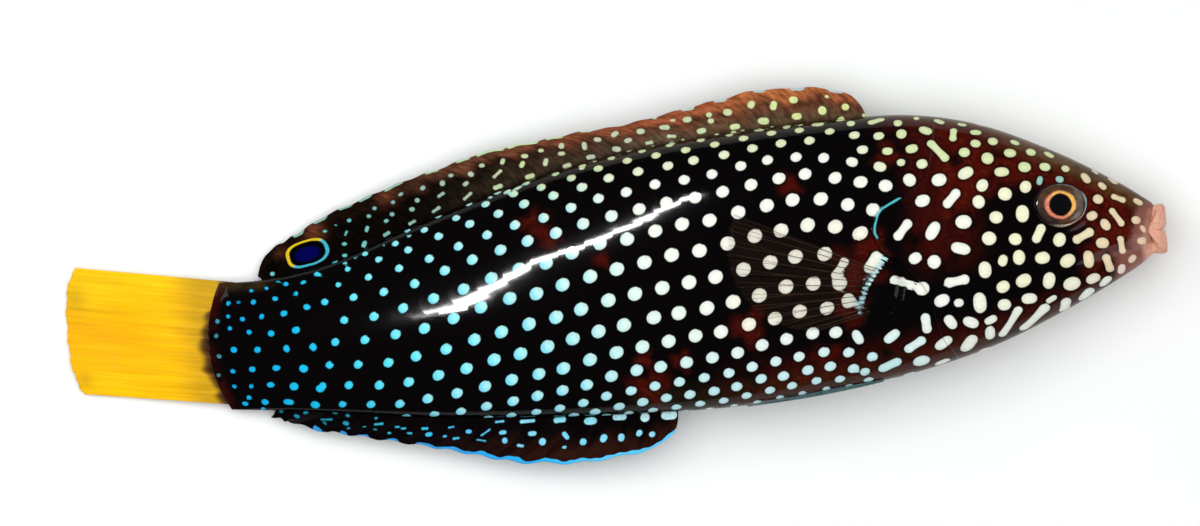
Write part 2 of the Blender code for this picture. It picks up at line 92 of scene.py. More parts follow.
class Curve:
    """Smooth curve through named points, held level beyond its two ends."""

    def __init__(self, *points: Pair) -> None:
        """Keeps the (place, height) pairs in order, with the slope at each."""
        ends = np.pad(np.array(sorted(points), float), ((1, 1), (0, 0)), "edge")
        self.places, self.heights = ends[1:-1].T
        run, rise = (ends[2:] - ends[:-2]).T
        self.slopes = rise / run

    def __call__(self, at: Array | float) -> Array:
        """Heights of the curve at each place along it."""
        at = np.clip(np.asarray(at, float), self.places[0], self.places[-1])
        i = np.clip(np.searchsorted(self.places, at, side="right") - 1, 0, len(self.places) - 2)
        span = self.places[i + 1] - self.places[i]
        t = (at - self.places[i]) / span
        low, high = self.heights[i], self.heights[i + 1]
        ends = low * (1 + 2 * t) * (1 - t) ** 2 + high * t * t * (3 - 2 * t)
        lean = self.slopes[i] * t * (1 - t) ** 2 - self.slopes[i + 1] * t * t * (1 - t)
        return ends + span * lean


def ease(low: float, high: float, value: Array | float) -> Array:
    """An even S from 0 at low to 1 at high, where low may be the larger."""
    share = np.clip((np.asarray(value, float) - low) / (high - low), 0, 1)
    return share * share * (3 - 2 * share)


def mix(a: Array | float, b: Array | float, share: Array | float) -> Array:
    """The value that share of the way from a to b."""
    return a + (b - a) * share


def tinted(base: Array, tint: Colour, share: Array) -> Array:
    """Colours, one row each, taken a share of the way to one tint."""
    return mix(base, np.array(tint), np.asarray(share)[..., None])


def ramp(at: Array, *stops: tuple[float, Colour]) -> Array:
    """Colours at places along a run of stops, each stop a place and its colour."""
    places, colours = zip(*sorted(stops))
    return np.stack([np.interp(at, places, part) for part in zip(*colours)], -1)


@dataclass(frozen=True)
class BodyForm:
    """Outer form of the body from its stations, the same as the solids'."""

    stations: tuple[tuple[float, ...], ...] = (
        (51.2, 2.75, -1.9, 1.55, 5.0), (48.4, 4.85, -3.55, 2.6, 5.1), (42.4, 8.5, -6.4, 4.35, 5.2),
        (35.5, 11.7, -9.1, 5.25, 5.4), (29.0, 13.2, -10.75, 5.65, 5.5), (22.0, 13.4, -11.85, 5.75, 5.5),
        (12.5, 13.1, -12.6, 5.5, 5.25), (4.0, 12.45, -12.6, 5.05, 4.8), (-6.0, 10.75, -12.1, 4.3, 4.05),
        (-18.0, 7.3, -11.05, 3.1, 2.85), (-27.0, 4.35, -9.8, 2.3, 2.05), (-33.0, 3.45, -9.0, 1.7, 1.5),
        (-39.2, 3.6, -8.3, 0.75, 0.85),
    )
    gill_edge: Curve = Curve(
        (16.0, 31.8), (9.0, 30.6), (6.4, 29.0), (4.9, 25.75), (3.0, 24.45), (1.1, 24.85), (-1.0, 27.0),
        (-3.0, 28.7), (-5.4, 29.4), (-7.8, 30.0), (-10.0, 31.4), (-14.0, 34.0),
    )
    fullness: float = 0.92
    gill_lift: float = 0.38
    gill_lift_length: float = 8.0
    gill_top: float = 6.5
    nape_top: float = 9.5
    pocket_height: float = 0.97
    pocket_front: float = 29.0
    pocket_rear: float = 8.5
    pocket_ramp: float = 2.2
    floor_clearance: float = 0.09
    tail_mid: Pair = (-38.9, -2.4)
    tail_half: float = 5.85
    tail_bow: float = 1.5
    pad_centre: Pair = (24.9, -3.1)
    pad_radii: Pair = (1.9, 2.7)
    pad_turn: float = 163.0
    pad_rise: float = 0.85
    back: Curve = field(init=False)
    belly: Curve = field(init=False)
    half_width: Curve = field(init=False)
    middle: Curve = field(init=False)

    def __post_init__(self) -> None:
        """Makes the smooth curves through the stations."""
        for name, column in (("back", 1), ("belly", 2), ("half_width", 3), ("middle", 4)):
            object.__setattr__(self, name, Curve(*((row[0], row[column]) for row in self.stations)))

    def tail_root(self, y: Array) -> Array:
        """How far along the fish the rounded end of the tail stalk is, at each height."""
        share = (y - self.tail_mid[1]) / self.tail_half
        return self.tail_mid[0] + self.tail_bow * share * share

    def resting_level(self, x: Array) -> Array:
        """Lowest height of the pressed flank's skin at each place along the fish."""
        front = ease(self.pocket_front + self.pocket_ramp, self.pocket_front, x)
        rear = ease(self.pocket_rear - self.pocket_ramp, self.pocket_rear, x)
        return np.maximum(self.pocket_height * front * rear, self.floor_clearance)

    def gill_rise(self, x: Array, y: Array) -> Array:
        """How far the gill cover stands out beside the body, at each place in the side view."""
        ahead = ease(self.gill_lift_length, 0, x - self.gill_edge(y))
        return self.gill_lift * ahead * ease(self.nape_top, self.gill_top, y)

    def pad_share(self, x: Array, y: Array) -> Array:
        """Distance from the middle of the pectoral fin's fleshy base, in its own radii.

        Args:
            x: places along the fish.
            y: heights in the side view.

        Returns:
            The share of the radius at each place.
        """
        turn = radians(self.pad_turn)
        dx, dy = x - self.pad_centre[0], y - self.pad_centre[1]
        along = (dx * cos(turn) + dy * sin(turn)) / self.pad_radii[0]
        across = (-dx * sin(turn) + dy * cos(turn)) / self.pad_radii[1]
        return np.hypot(along, across)

    def heights(self, x: Array, angle: Array) -> Array:
        """Heights in the side view at angles from the back, over the right flank, to the belly."""
        top, bottom = self.back(x), self.belly(x)
        return (top + bottom) / 2 + (top - bottom) / 2 * np.cos(angle)

    def level(self, x: Array, y: Array) -> Array:
        """Share of the way up from the belly's line to the back's, at each place."""
        return (y - self.belly(x)) / (self.back(x) - self.belly(x))

    def angle_at(self, x: Array, y: Array) -> Array:
        """The angle on the right flank, from 0 to half a turn, over a place in the side view."""
        return np.arccos(np.clip(2 * self.level(x, y) - 1, -1, 1))

    def surface(self, x: Array, angle: Array, rise: Array | float = 0.0) -> Array:
        """Points of the skin, pressed flat where the fish lies on the floor.

        Args:
            x: places along the fish.
            angle: angles round the body.
            rise: how far the flank is pushed out or in.

        Returns:
            Points in millimetres, the last axis being X, Y and Z.
        """
        x, angle = np.broadcast_arrays(np.asarray(x, float), np.asarray(angle, float))
        side = np.sin(angle)
        out = np.sign(side) * np.abs(side) ** self.fullness
        z = self.middle(x) + (self.half_width(x) + rise) * out
        return np.stack([x, self.heights(x, angle), np.maximum(z, self.resting_level(x))], -1)

    def girth_place(self, x: Array, angle: Array, steps: int = 28) -> Array:
        """Arc length from the middle of the flank, towards the back, to a place on the body.

        Args:
            x: places along the fish.
            angle: angles from 0 to half a turn, or a little past either.
            steps: number of chords of the arc.

        Returns:
            The arc length, which is negative towards the belly.
        """
        x, angle = np.broadcast_arrays(np.asarray(x, float), np.asarray(angle, float))
        depth = (self.back(x) - self.belly(x)) / 2
        width = self.half_width(x)
        total = np.zeros(x.shape)
        last = None
        for step in range(steps + 1):
            turn = mix(pi / 2, angle, step / steps)
            side = np.sin(turn)
            across = width * np.sign(side) * np.abs(side) ** self.fullness
            here = np.stack([depth * np.cos(turn), across], -1)
            if last is not None:
                total = total + np.linalg.norm(here - last, axis=-1)
            last = here
        return total * np.sign(pi / 2 - angle)

    def height_of(self, x: float, w: float) -> float:
        """Height in the side view of a girth place."""
        angles = np.linspace(0, pi, 73)
        along = np.full(len(angles), x)
        girths = self.girth_place(along, angles)
        return float(np.interp(w, girths[::-1], self.heights(along, angles)[::-1]))


# Meshes


def mesh_object(
    name: str, points: Array, faces: Sequence[Sequence[int]] | Array, edges: Sequence = ()
) -> Thing:
    """Makes an object at the origin from points in millimetres.

    Args:
        name: the object's name.
        points: one row of X, Y and Z for each vertex.
        faces: vertex numbers of each face.
        edges: vertex numbers of each loose edge.

    Returns:
        The new object, in the scene, shaded smooth.
    """
    mesh = bpy.data.meshes.new(name)
    faces = faces.tolist() if isinstance(faces, np.ndarray) else list(faces)
    mesh.from_pydata((np.asarray(points) * MM).tolist(), list(edges), faces)
    mesh.update()
    mesh.shade_smooth()
    obj = bpy.data.objects.new(name, mesh)
    bpy.context.scene.collection.objects.link(obj)
    return obj


def grid_faces(rows: int, columns: int, closed: bool = False) -> Array:
    """Faces of a grid whose vertices run along each row in turn.

    Args:
        rows: number of rows of vertices.
        columns: number of vertices in a row.
        closed: whether each row joins its own start.

    Returns:
        One row of four vertex numbers for each face.
    """
    wide = columns if closed else columns - 1
    r, c = np.meshgrid(np.arange(rows - 1), np.arange(wide), indexing="ij")
    after = (c + 1) % columns
    quads = [r * columns + c, r * columns + after, (r + 1) * columns + after, (r + 1) * columns + c]
    return np.stack(quads, -1).reshape(-1, 4)


def face_outwards(obj: Thing) -> Thing:
    """Turns every face of a closed mesh outwards, drops loose vertices, and gives the object back."""
    builder = bmesh.new()
    builder.from_mesh(obj.data)
    loose = [vert for vert in builder.verts if not vert.link_faces]
    bmesh.ops.delete(builder, geom=loose, context="VERTS")
    bmesh.ops.recalc_face_normals(builder, faces=builder.faces)
    builder.to_mesh(obj.data)
    builder.free()
    return obj


def give_values(obj: Thing, name: str, values: Array) -> None:
    """Stores a value or a vector for each vertex.

    Args:
        obj: the object.
        name: the attribute's name.
        values: one number or three for each vertex.
    """
    values = np.asarray(values, np.float32)
    vector = values.ndim == 2
    stored = obj.data.attributes.new(name, "FLOAT_VECTOR" if vector else "FLOAT", "POINT")
    stored.data.foreach_set("vector" if vector else "value", values.ravel())


def read_vectors(obj: Thing, name: str) -> Array:
    """The vectors of a point attribute, one row for each vertex."""
    values = np.zeros(len(obj.data.vertices) * 3, np.float32)
    obj.data.attributes[name].data.foreach_get("vector", values)
    return values.reshape(-1, 3)


def give_unwrap(obj: Thing, name: str, corner_uv: Array) -> None:
    """Stores a UV map by name, with U and V of each face corner."""
    layer = obj.data.uv_layers.new(name=name)
    layer.data.foreach_set("uv", np.asarray(corner_uv, np.float32).ravel())


def hand_over(obj: Thing, finish: Finish, replaced: Sequence[str], what: str) -> None:
    """Dresses a finished piece, lets it ride on the model and reports it.

    Args:
        obj: the piece.
        finish: its material.
        replaced: CAD nodes that it stands for.
        what: words for the log.
    """
    obj.data.materials.clear()
    obj.data.materials.append(finish)
    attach(obj, "root")
    if replaced:
        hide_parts(*replaced)
    triangles = sum(len(face.vertices) - 2 for face in obj.data.polygons)
    log.info("%s: %s, %d triangles", obj.name, what, triangles)


# Markings


@dataclass(frozen=True)
class Spot:
    """A pale mark seen from the side: a disc, or a bar with round ends."""

    x: float
    y: float
    length: float
    width: float
    turn: float = 0.0

    def laid(self, height: float, stretch: float = 1.0) -> tuple[float, ...]:
        """The mark on a surface that the side view shortens.

        Args:
            height: its place across the surface.
            stretch: how much longer the surface is there than the side view.

        Returns:
            Its place, half of its core line and its radius.
        """
        turn = radians(self.turn)
        along = np.array([cos(turn), sin(turn) * stretch])
        across = np.array([-sin(turn), cos(turn) * stretch])
        length = self.length * np.linalg.norm(along)
        width = self.width * np.linalg.norm(across)
        if width > length:
            along, length, width = across, width, length
        core = along / np.linalg.norm(along) * max(length - width, 0.02) / 2
        return (self.x, height, core[0], core[1], width / 2)


def spots(*rows: tuple[float, ...]) -> Spots:
    """Marks from rows of place, length, width and turn in degrees."""
    return tuple(Spot(*row) for row in rows)


@dataclass(frozen=True)
class FlankMarks:
    """The irregular marks outside the rows of scales, by the part of the body that they are on."""

    snout: Spots = spots(
        (45.0, 5.7, 1.1, 0.75, -60), (46.0, 6.2, 0.7, 0.35, -45), (46.5, 4.8, 0.85, 0.6, -50),
        (47.6, 5.2, 1.0, 0.5, -40), (45.95, 3.6, 1.05, 0.95), (47.9, 3.5, 1.6, 0.62, -20),
        (49.75, 3.0, 1.0, 0.6, -30), (45.2, 2.1, 1.15, 0.85, 25), (47.55, 1.75, 2.2, 0.68, -58),
        (46.4, 1.15, 1.2, 0.9, -60), (49.35, 1.3, 0.95, 0.8), (49.95, 0.42, 0.8, 0.5, -65),
        (47.75, -0.9, 1.9, 0.72, -85), (49.75, -0.7, 1.0, 0.72), (45.95, -0.55, 1.35, 1.05),
        (46.35, -2.5, 2.0, 0.9, -75), (48.7, -2.3, 0.9, 0.6, 50), (47.6, -3.2, 1.0, 0.75, 75),
        (46.0, -4.2, 1.3, 0.7, 40), (44.8, -3.8, 1.5, 0.95, 25),
    )
    eye_ring: Spots = spots(
        (38.1, 8.7, 1.25, 0.85), (40.1, 8.6, 0.95, 0.7, -10), (41.8, 8.2, 0.95, 0.45, -30),
        (38.7, 9.65, 0.9, 0.45, -20), (37.1, 7.0, 1.5, 0.9), (39.3, 7.25, 1.25, 1.05, -10),
        (41.25, 7.1, 1.1, 0.8), (43.2, 6.75, 0.8, 0.65), (44.5, 7.3, 0.8, 0.3, -30),
        (39.2, 5.4, 1.25, 1.1, 60), (37.2, 4.9, 1.4, 1.3), (38.65, 2.9, 1.75, 1.3, 80),
    )
    brow: Spots = spots((40.6, 5.85, 0.95, 0.55, 70), (42.5, 5.8, 0.8, 0.65))
    cheek: Spots = spots(
        (36.15, 2.8, 1.35, 1.2), (40.0, 0.9, 2.1, 0.95, 60), (37.75, 0.6, 1.3, 1.2),
        (41.9, 0.15, 1.45, 1.2, 60), (44.2, 0.3, 2.5, 0.92, 27), (36.4, -1.3, 1.2, 0.9, 70),
        (37.95, -1.15, 1.5, 1.2, 80), (40.15, -1.4, 1.5, 1.2, 5), (42.5, -1.9, 1.65, 1.25, 30),
        (44.5, -1.95, 1.75, 1.05, 90), (38.2, -3.35, 1.65, 1.25, 30), (36.2, -3.75, 1.4, 1.15, 30),
        (40.6, -3.6, 1.7, 1.2, 75), (42.75, -4.1, 1.8, 1.3, 20),
    )
    throat: Spots = spots(
        (38.6, -5.1, 1.6, 1.05), (36.2, -5.45, 1.35, 1.15), (40.7, -5.35, 1.2, 0.55, 25),
        (42.0, -6.1, 1.5, 1.1, 75), (44.1, -5.25, 1.7, 0.85, 40), (36.65, -7.2, 3.7, 0.85, 52),
        (39.0, -7.0, 3.7, 0.88, 36), (34.8, -6.75, 1.35, 0.75, 20), (34.65, -8.0, 1.35, 1.0, 90),
        (34.1, -9.5, 1.2, 0.7, 15), (32.6, -8.8, 1.95, 1.15, 50), (30.2, -8.5, 1.9, 1.0, 30),
        (27.5, -8.4, 2.45, 0.95, 25), (28.0, -10.0, 1.75, 1.0), (30.0, -10.3, 1.6, 0.6, 15),
        (25.0, -10.1, 2.5, 0.9, 15), (25.4, -7.4, 1.8, 1.0, 30), (26.8, -11.1, 1.2, 0.4, 10),
        (24.9, -11.45, 1.4, 0.4, 5), (22.9, -11.3, 1.0, 0.5), (22.6, -10.5, 1.0, 0.75),
        (23.4, -9.15, 1.1, 0.95), (22.2, -7.2, 1.6, 0.9, -65),
    )
    gill_cover: Spots = spots(
        (29.4, 5.0, 1.5, 1.2, 10), (27.3, 2.45, 2.5, 1.0, 45), (30.1, 2.1, 2.0, 1.2, 55),
        (33.05, 2.65, 1.65, 1.35), (28.2, -0.3, 1.35, 1.1, 20), (29.95, -0.8, 1.35, 1.35),
        (32.55, 0.2, 2.0, 1.1, -20), (35.3, 0.9, 1.45, 1.35), (34.65, -2.0, 1.7, 1.25, 90),
        (31.9, -2.8, 2.7, 1.05, 5), (30.35, -4.5, 1.6, 1.2, 20), (31.9, -4.85, 1.0, 0.8),
        (33.9, -5.05, 2.1, 1.3, 90), (31.0, -6.6, 1.6, 1.0, -60), (32.9, -6.8, 1.65, 1.0, -30),
        (32.15, 4.95, 2.3, 1.0, 45), (35.15, 5.9, 1.3, 1.1, 50), (34.65, 4.4, 1.3, 1.2, 90),
        (30.9, -3.0, 0.6, 0.4),
    )
    nape: Spots = spots(
        (22.6, 13.3, 0.9, 0.45, 15), (25.1, 13.6, 1.0, 0.35, 10), (23.5, 12.9, 0.8, 0.6),
        (25.9, 12.9, 1.8, 0.5, 10), (27.9, 12.5, 0.85, 0.65), (29.7, 12.8, 0.6, 0.5),
        (31.8, 12.3, 1.0, 0.45, -30), (33.9, 11.8, 0.9, 0.35, -10), (35.7, 11.6, 0.9, 0.35, -15),
        (23.7, 11.75, 1.1, 0.75, -5), (25.95, 11.45, 1.1, 0.75, -5), (28.1, 11.45, 1.0, 0.95),
        (30.4, 11.55, 1.35, 0.75, -25), (32.95, 10.95, 1.4, 0.75, 78), (35.1, 10.95, 1.15, 0.5),
        (24.3, 10.3, 1.15, 0.8, -8), (26.6, 9.95, 1.1, 0.75, -10), (28.9, 9.95, 1.3, 0.85, 8),
        (31.35, 9.55, 2.9, 0.85, -52), (34.95, 9.9, 1.05, 0.75, -15), (36.6, 9.95, 1.0, 0.75),
        (23.2, 9.25, 1.25, 0.9, -25), (25.75, 8.55, 1.3, 0.95, -25), (27.75, 8.75, 0.85, 0.7),
        (29.7, 8.45, 1.15, 0.95), (33.8, 9.15, 1.1, 0.95), (35.9, 8.4, 1.2, 1.15),
        (23.8, 7.3, 1.4, 1.15, -10), (26.1, 6.7, 1.4, 1.2, -25), (28.4, 7.05, 1.35, 1.2, -50),
        (31.15, 6.8, 1.5, 1.25, 10), (33.7, 7.2, 1.65, 1.1, 25), (22.4, 5.3, 1.35, 1.3),
        (24.7, 4.6, 1.35, 1.3), (23.3, 2.5, 1.6, 1.3, 20),
    )
    fin_base: Spots = spots(
        (28.7, -6.5, 2.1, 1.0, 95), (21.1, -0.6, 2.5, 0.95, 50), (26.0, -2.15, 0.9, 0.75, 60),
        (26.75, -2.4, 0.9, 0.8, 60), (27.5, -2.75, 0.95, 0.8, 60), (28.6, -3.2, 1.45, 1.35),
        (24.2, -0.3, 2.4, 1.1, 50), (21.6, -3.7, 1.5, 1.35, 90),
    )
    stalk: Spots = spots(
        (-34.32, 2.52, 0.36, 0.28), (-32.9, 2.62, 0.34, 0.26), (-31.75, 3.13, 0.3, 0.13),
        (-31.0, 2.85, 0.42, 0.32, 10), (-29.35, 2.85, 0.48, 0.26, 15), (-35.65, 1.55, 0.32, 0.28),
        (-36.62, 1.53, 0.38, 0.26, 60), (-34.22, 1.43, 0.44, 0.34, 50), (-32.14, 1.56, 0.52, 0.4),
        (-30.15, 1.83, 0.46, 0.36, 40), (-36.75, 0.3, 0.36, 0.32), (-37.82, -0.08, 0.42, 0.34, 60),
        (-35.42, -0.07, 0.4, 0.36), (-33.55, 0.0, 0.48, 0.4, 60), (-31.42, 0.1, 0.6, 0.46, 20),
        (-29.2, 0.5, 0.66, 0.52), (-36.7, -0.82, 0.38, 0.36), (-34.9, -1.35, 0.44, 0.4),
        (-38.08, -1.43, 0.46, 0.32, 50), (-32.8, -1.68, 0.6, 0.56), (-30.43, -1.57, 0.74, 0.62, 20),
        (-36.5, -2.88, 0.56, 0.5), (-37.98, -3.37, 0.42, 0.36), (-34.25, -3.1, 0.6, 0.54, 30),
        (-31.5, -3.25, 0.64, 0.52, 100), (-28.97, -3.33, 0.72, 0.66, 90), (-36.8, -4.9, 0.42, 0.36),
        (-38.2, -5.15, 0.34, 0.32), (-34.93, -4.88, 0.52, 0.46), (-32.63, -4.97, 0.7, 0.52, 10),
        (-30.05, -5.27, 0.76, 0.7), (-36.78, -6.35, 0.4, 0.36), (-35.17, -6.47, 0.42, 0.34, 80),
        (-33.33, -6.5, 0.66, 0.44), (-31.13, -6.85, 0.76, 0.68), (-35.5, -7.53, 0.44, 0.38, -20),
        (-34.02, -8.08, 0.62, 0.5, -30), (-35.92, -8.07, 0.52, 0.36, -10),
        (-31.8, -8.3, 0.92, 0.48, -12), (-34.28, -8.72, 0.42, 0.26), (-29.3, -8.8, 0.84, 0.62, -30),
        (-28.65, -7.3, 0.8, 0.7),
    )
    ridge: Spots = spots(
        (12.46, 13.07, 0.6, 0.38), (14.99, 13.07, 0.65, 0.42), (17.43, 13.1, 0.66, 0.42),
        (20.65, 13.1, 0.72, 0.45), (18.78, 13.18, 0.45, 0.25), (16.13, 13.25, 0.4, 0.2),
        (13.37, 13.18, 0.4, 0.2), (10.88, 13.04, 0.5, 0.25), (9.25, 12.68, 0.66, 0.42),
        (6.57, 12.59, 0.62, 0.4), (0.78, 11.74, 0.55, 0.38), (-0.83, 11.61, 0.4, 0.22, 15),
        (-2.09, 11.1, 0.55, 0.32, 20), (-8.33, 9.78, 0.75, 0.26, 15), (-9.33, 9.56, 0.7, 0.3, 25),
        (-10.98, 9.17, 0.45, 0.25, 15), (-18.93, 6.3, 0.42, 0.32, 20), (-21.46, 5.6, 0.26, 0.18),
        (-24.17, 4.7, 0.28, 0.2), (-25.24, 4.27, 0.36, 0.22), (-27.6, 3.26, 0.27, 0.16),
    )
    gill_rim_path: Path = (
        (27.43, 5.51), (26.44, 5.04), (25.6, 4.66), (25.12, 4.14), (24.74, 3.14), (24.62, 2.47),
        (24.85, 1.89),
    )
    gill_rim_width: float = 0.22
    # Painted highlights: a row of glints on the ray bases along the pectoral fin's root
    rib_path: Path = ((25.4, -0.1), (24.2, -1.4), (23.4, -2.5), (22.9, -3.6), (22.6, -4.9))
    ribs: int = 13
    rib_size: Pair = (0.66, 0.34)

    def gill_rim(self) -> Spots:
        """The pale line along the rear edge of the gill cover."""
        made = []
        for (ax, ay), (bx, by) in zip(self.gill_rim_path, self.gill_rim_path[1:]):
            long = hypot(bx - ax, by - ay) + self.gill_rim_width
            turn = degrees(atan2(by - ay, bx - ax))
            made.append(Spot((ax + bx) / 2, (ay + by) / 2, long, self.gill_rim_width, turn))
        return tuple(made)

    def fin_ribs(self) -> Spots:
        """Painted highlights: short pale bluish glints side by side on the ray bases at the root of the
        pectoral fin.
        """
        return self.side_by_side(self.rib_path, self.ribs, self.rib_size)

    @staticmethod
    def side_by_side(path: Path, count: int, size: Pair) -> Spots:
        """Short bars across a path.

        Args:
            path: points of the path.
            count: number of bars.
            size: length and width of a bar.

        Returns:
            The bars.
        """
        path = np.array(path)
        far = np.concatenate([[0], np.cumsum(np.hypot(*np.diff(path, axis=0).T))])
        at = np.linspace(0, far[-1], count)
        x, y = np.interp(at, far, path[:, 0]), np.interp(at, far, path[:, 1])
        turn = np.degrees(np.arctan2(np.gradient(y), np.gradient(x))) + 90
        return tuple(Spot(*row, *size, t) for *row, t in zip(x, y, turn))


@dataclass(frozen=True)
class ScaleRows:
    """Rows of scales along the trunk, each scale with one pale spot.

    Rows are counted from the one along the middle of the flank, up to the back and down to the belly.
    """

    upper_places: tuple[float, ...] = (0.0, 2.9, 5.6, 8.1, 10.15, 12.0, 13.5, 14.7)
    lower_places: tuple[float, ...] = (0.0, 2.72, 5.2, 7.5, 9.45, 11.05, 12.5, 13.85)
    line: Curve = Curve(
        (27.0, -2.2), (23.5, -0.9), (21.0, 0.0), (19.0, 0.4), (16.0, 0.3), (12.0, -0.1),
        (9.5, -0.45), (4.0, -0.8), (-1.0, -1.25), (-6.0, -2.0), (-11.0, -2.35), (-16.0, -2.85),
        (-20.0, -3.1), (-24.0, -2.85), (-28.0, -2.35), (-35.0, -2.1), (-40.0, -2.1),
    )
    upper_spread: Curve = Curve(
        (22.0, 0.91), (16.0, 0.955), (8.0, 0.965), (-4.0, 0.955), (-12.0, 0.925), (-20.0, 0.835),
        (-28.0, 0.73), (-34.0, 0.64), (-38.0, 0.58),
    )
    lower_spread: Curve = Curve(
        (16.0, 1.0), (0.0, 0.97), (-10.0, 0.93), (-20.0, 0.83), (-31.0, 0.68), (-38.0, 0.58)
    )
    spacing: float = 2.6
    spacing_per_row: float = 0.03
    low_spacing: tuple[float, ...] = (2.41, 2.32, 2.25, 2.25, 2.25)
    first: float = 17.2
    front_lean: float = 0.035
    nudges: tuple[tuple[int, float], ...] = ((-3, -0.15), (-5, -0.3), (-6, -0.2), (4, 0.3), (6, 0.3))
    drift: Curve = Curve(
        (20.0, -0.1), (12.0, 0.1), (0.0, 0.15), (-8.0, 0.3), (-14.0, 0.3), (-20.0, -0.15),
        (-27.0, -0.6), (-33.0, -0.4), (-38.0, 0.0),
    )
    jitter: float = 0.06
    front: float = 22.1
    rear: float = -38.4
    last_spot: float = -28.4
    disc: Curve = Curve(
        (20.0, 1.23), (5.0, 1.22), (-5.0, 1.17), (-12.0, 1.08), (-20.0, 0.88), (-28.0, 0.63), (-36.0, 0.4),
    )
    row_disc: Curve = Curve(
        (0.0, 1.0), (1.0, 1.0), (2.0, 0.96), (3.0, 0.87), (4.0, 0.75), (5.0, 0.72), (6.0, 0.64), (7.0, 0.52)
    )

    def row_place(self, row: int, x: Array | float) -> Array:
        """Girth place of a row, its number negative towards the belly, at each place along the fish."""
        if row > 0:
            return self.line(x) + self.upper_spread(x) * self.upper_places[row]
        return self.line(x) - self.lower_spread(x) * self.lower_places[-row]

    def row_width(self, row: int, x: float) -> float:
        """Width of the scales of a row at a place along the fish."""
        upper = self.upper_places, self.upper_spread
        places, spread = upper if row >= 0 else (self.lower_places, self.lower_spread)
        k = min(abs(row), len(places) - 2)
        return float(spread(x)) * (places[k + 1] - places[k])

    def seats(self, form: BodyForm, front: float, margin: float) -> list[tuple[int, float, float]]:
        """Middles of the scales of one flank.

        Args:
            form: the body's form.
            front: how far ahead the rows run.
            margin: how near to the midline of the back and of the belly they come.

        Returns:
            The row, the place along the fish and the girth place of each scale.
        """
        found = []
        last = len(self.upper_places) - 1
        rng = np.random.default_rng(SEED)
        nudges = dict(self.nudges)
        for row in range(-last, last + 1):
            step = self.spacing + self.spacing_per_row * row
            if row < -2:
                step = self.low_spacing[-row - 3]
            start = self.first + self.front_lean * row * abs(row) + (step / 2 if row % 2 else 0)
            start += nudges.get(row, 0.0)
            x = start + int((front - start) // step) * step
            while x > self.rear:
                wander = rng.normal(0, self.jitter, 2)
                at = x + float(self.drift(x))
                w = float(self.row_place(row, at)) + wander[1]
                top = float(form.girth_place(at, 0.0))
                bottom = float(form.girth_place(at, pi))
                if bottom + margin < w < top - margin:
                    found.append((row, at + wander[0], w))
                x -= step
        return found


@dataclass(frozen=True)
class Tints:
    """Colours of the pale marks."""

    cream: Colour = (0.95, 0.98, 0.88)
    pearl: Colour = (0.77, 0.97, 0.88)
    butter: Colour = (0.92, 0.92, 0.62)
    straw: Colour = (0.72, 0.82, 0.43)
    tan: Colour = (0.86, 0.70, 0.45)
    sea: Colour = (0.55, 0.94, 1.0)
    ice: Colour = (0.52, 0.94, 0.92)
    sky: Colour = (0.33, 0.97, 1.0)
    lagoon: Colour = (0.17, 0.90, 0.97)
    azure: Colour = (0.022, 0.65, 0.96)
    deep: Colour = (0.008, 0.52, 0.92)
    moss: Colour = (0.08, 0.28, 0.24)
    teal: Colour = (0.36, 0.66, 0.58)
    surf: Colour = (0.09, 0.58, 0.68)
    # Colour of the painted glints on the ray bases at the pectoral fin's root
    foam: Colour = (0.55, 0.88, 0.92)

    def flank(self, x: Array, level: Array) -> Array:
        """Tint of each mark on the body: cream, straw above, pale blue below and cyan behind.

        Args:
            x: places along the fish.
            level: shares of the way up the flank.

        Returns:
            One colour for each mark.
        """
        lean = 13 * (level - 0.42) * ease(-31, -20, x)
        tint = ramp(
            x + lean, (9.0, self.cream), (1.0, self.pearl), (-8.0, self.ice), (-17.0, self.sky),
            (-23.5, self.lagoon), (-29.0, self.azure), (-35.0, self.deep), (-37.2, self.deep),
            (-38.2, self.moss),
        )
        low = ease(0.30, 0.06, level) * ease(-26, -14, x) * ease(32, 24, x)
        tint = tinted(tint, self.sea, low * 0.75)
        tint = tinted(tint, self.butter, ease(31, 37, x) * ease(0.05, 0.3, level) * 0.9)
        high = np.maximum(ease(0.86, 0.97, level), ease(22, 27, x) * ease(0.70, 0.86, level))
        tint = tinted(tint, self.straw, high * ease(-14, -4, x) * 0.9)
        return tinted(tint, self.tan, ease(41, 46, x) * ease(0.05, 0.2, level) * 0.9)


def mark_rows(marks: Iterable[Sequence[float]], tints: Array) -> Array:
    """Laid marks and their tints in one table."""
    return np.concatenate([np.array(list(marks)), np.asarray(tints)], 1)


def paint_marks(obj: Thing, x: Array, y: Array, marks: Array, bare: Array | None = None) -> None:
    """Stores where each vertex is in the frame of the mark nearest to it, and that mark's size and tint.

    Args:
        obj: the piece.
        x: place along the fish of each vertex.
        y: place across the surface of each vertex.
        marks: the table of marks.
        bare: vertices that no mark reaches.
    """
    near, core, pale = (np.zeros((len(x), 3)) for _ in range(3))
    near[:] = FAR_OFF
    half = np.hypot(marks[:, 2], marks[:, 3])
    order = np.argsort(x)
    for chunk in np.array_split(order, max(1, len(order) // 3000)):
        low, high = x[chunk].min() - MARK_REACH, x[chunk].max() + MARK_REACH
        close = np.flatnonzero((marks[:, 0] > low) & (marks[:, 0] < high))
        if not len(close):
            continue
        dx = x[chunk][:, None] - marks[None, close, 0]
        dy = y[chunk][:, None] - marks[None, close, 1]
        ux, uy = marks[close, 2] / half[close], marks[close, 3] / half[close]
        along, across = dx * ux + dy * uy, dy * ux - dx * uy
        beyond = np.maximum(np.abs(along) - half[close], 0)
        gap = np.hypot(beyond, across) - marks[close, 4]
        pick = gap.argmin(1)
        every = np.arange(len(chunk))
        near[chunk] = np.stack([a[every, pick] for a in (along, across, gap)], -1)
        chosen = close[pick]
        core[chunk, 0], core[chunk, 1] = half[chosen], marks[chosen, 4]
        pale[chunk] = marks[chosen, 5:]
    if bare is not None:
        near[bare] = FAR_OFF
    for name, values in (("near", near), ("core", core), ("pale", pale)):
        give_values(obj, name, values)


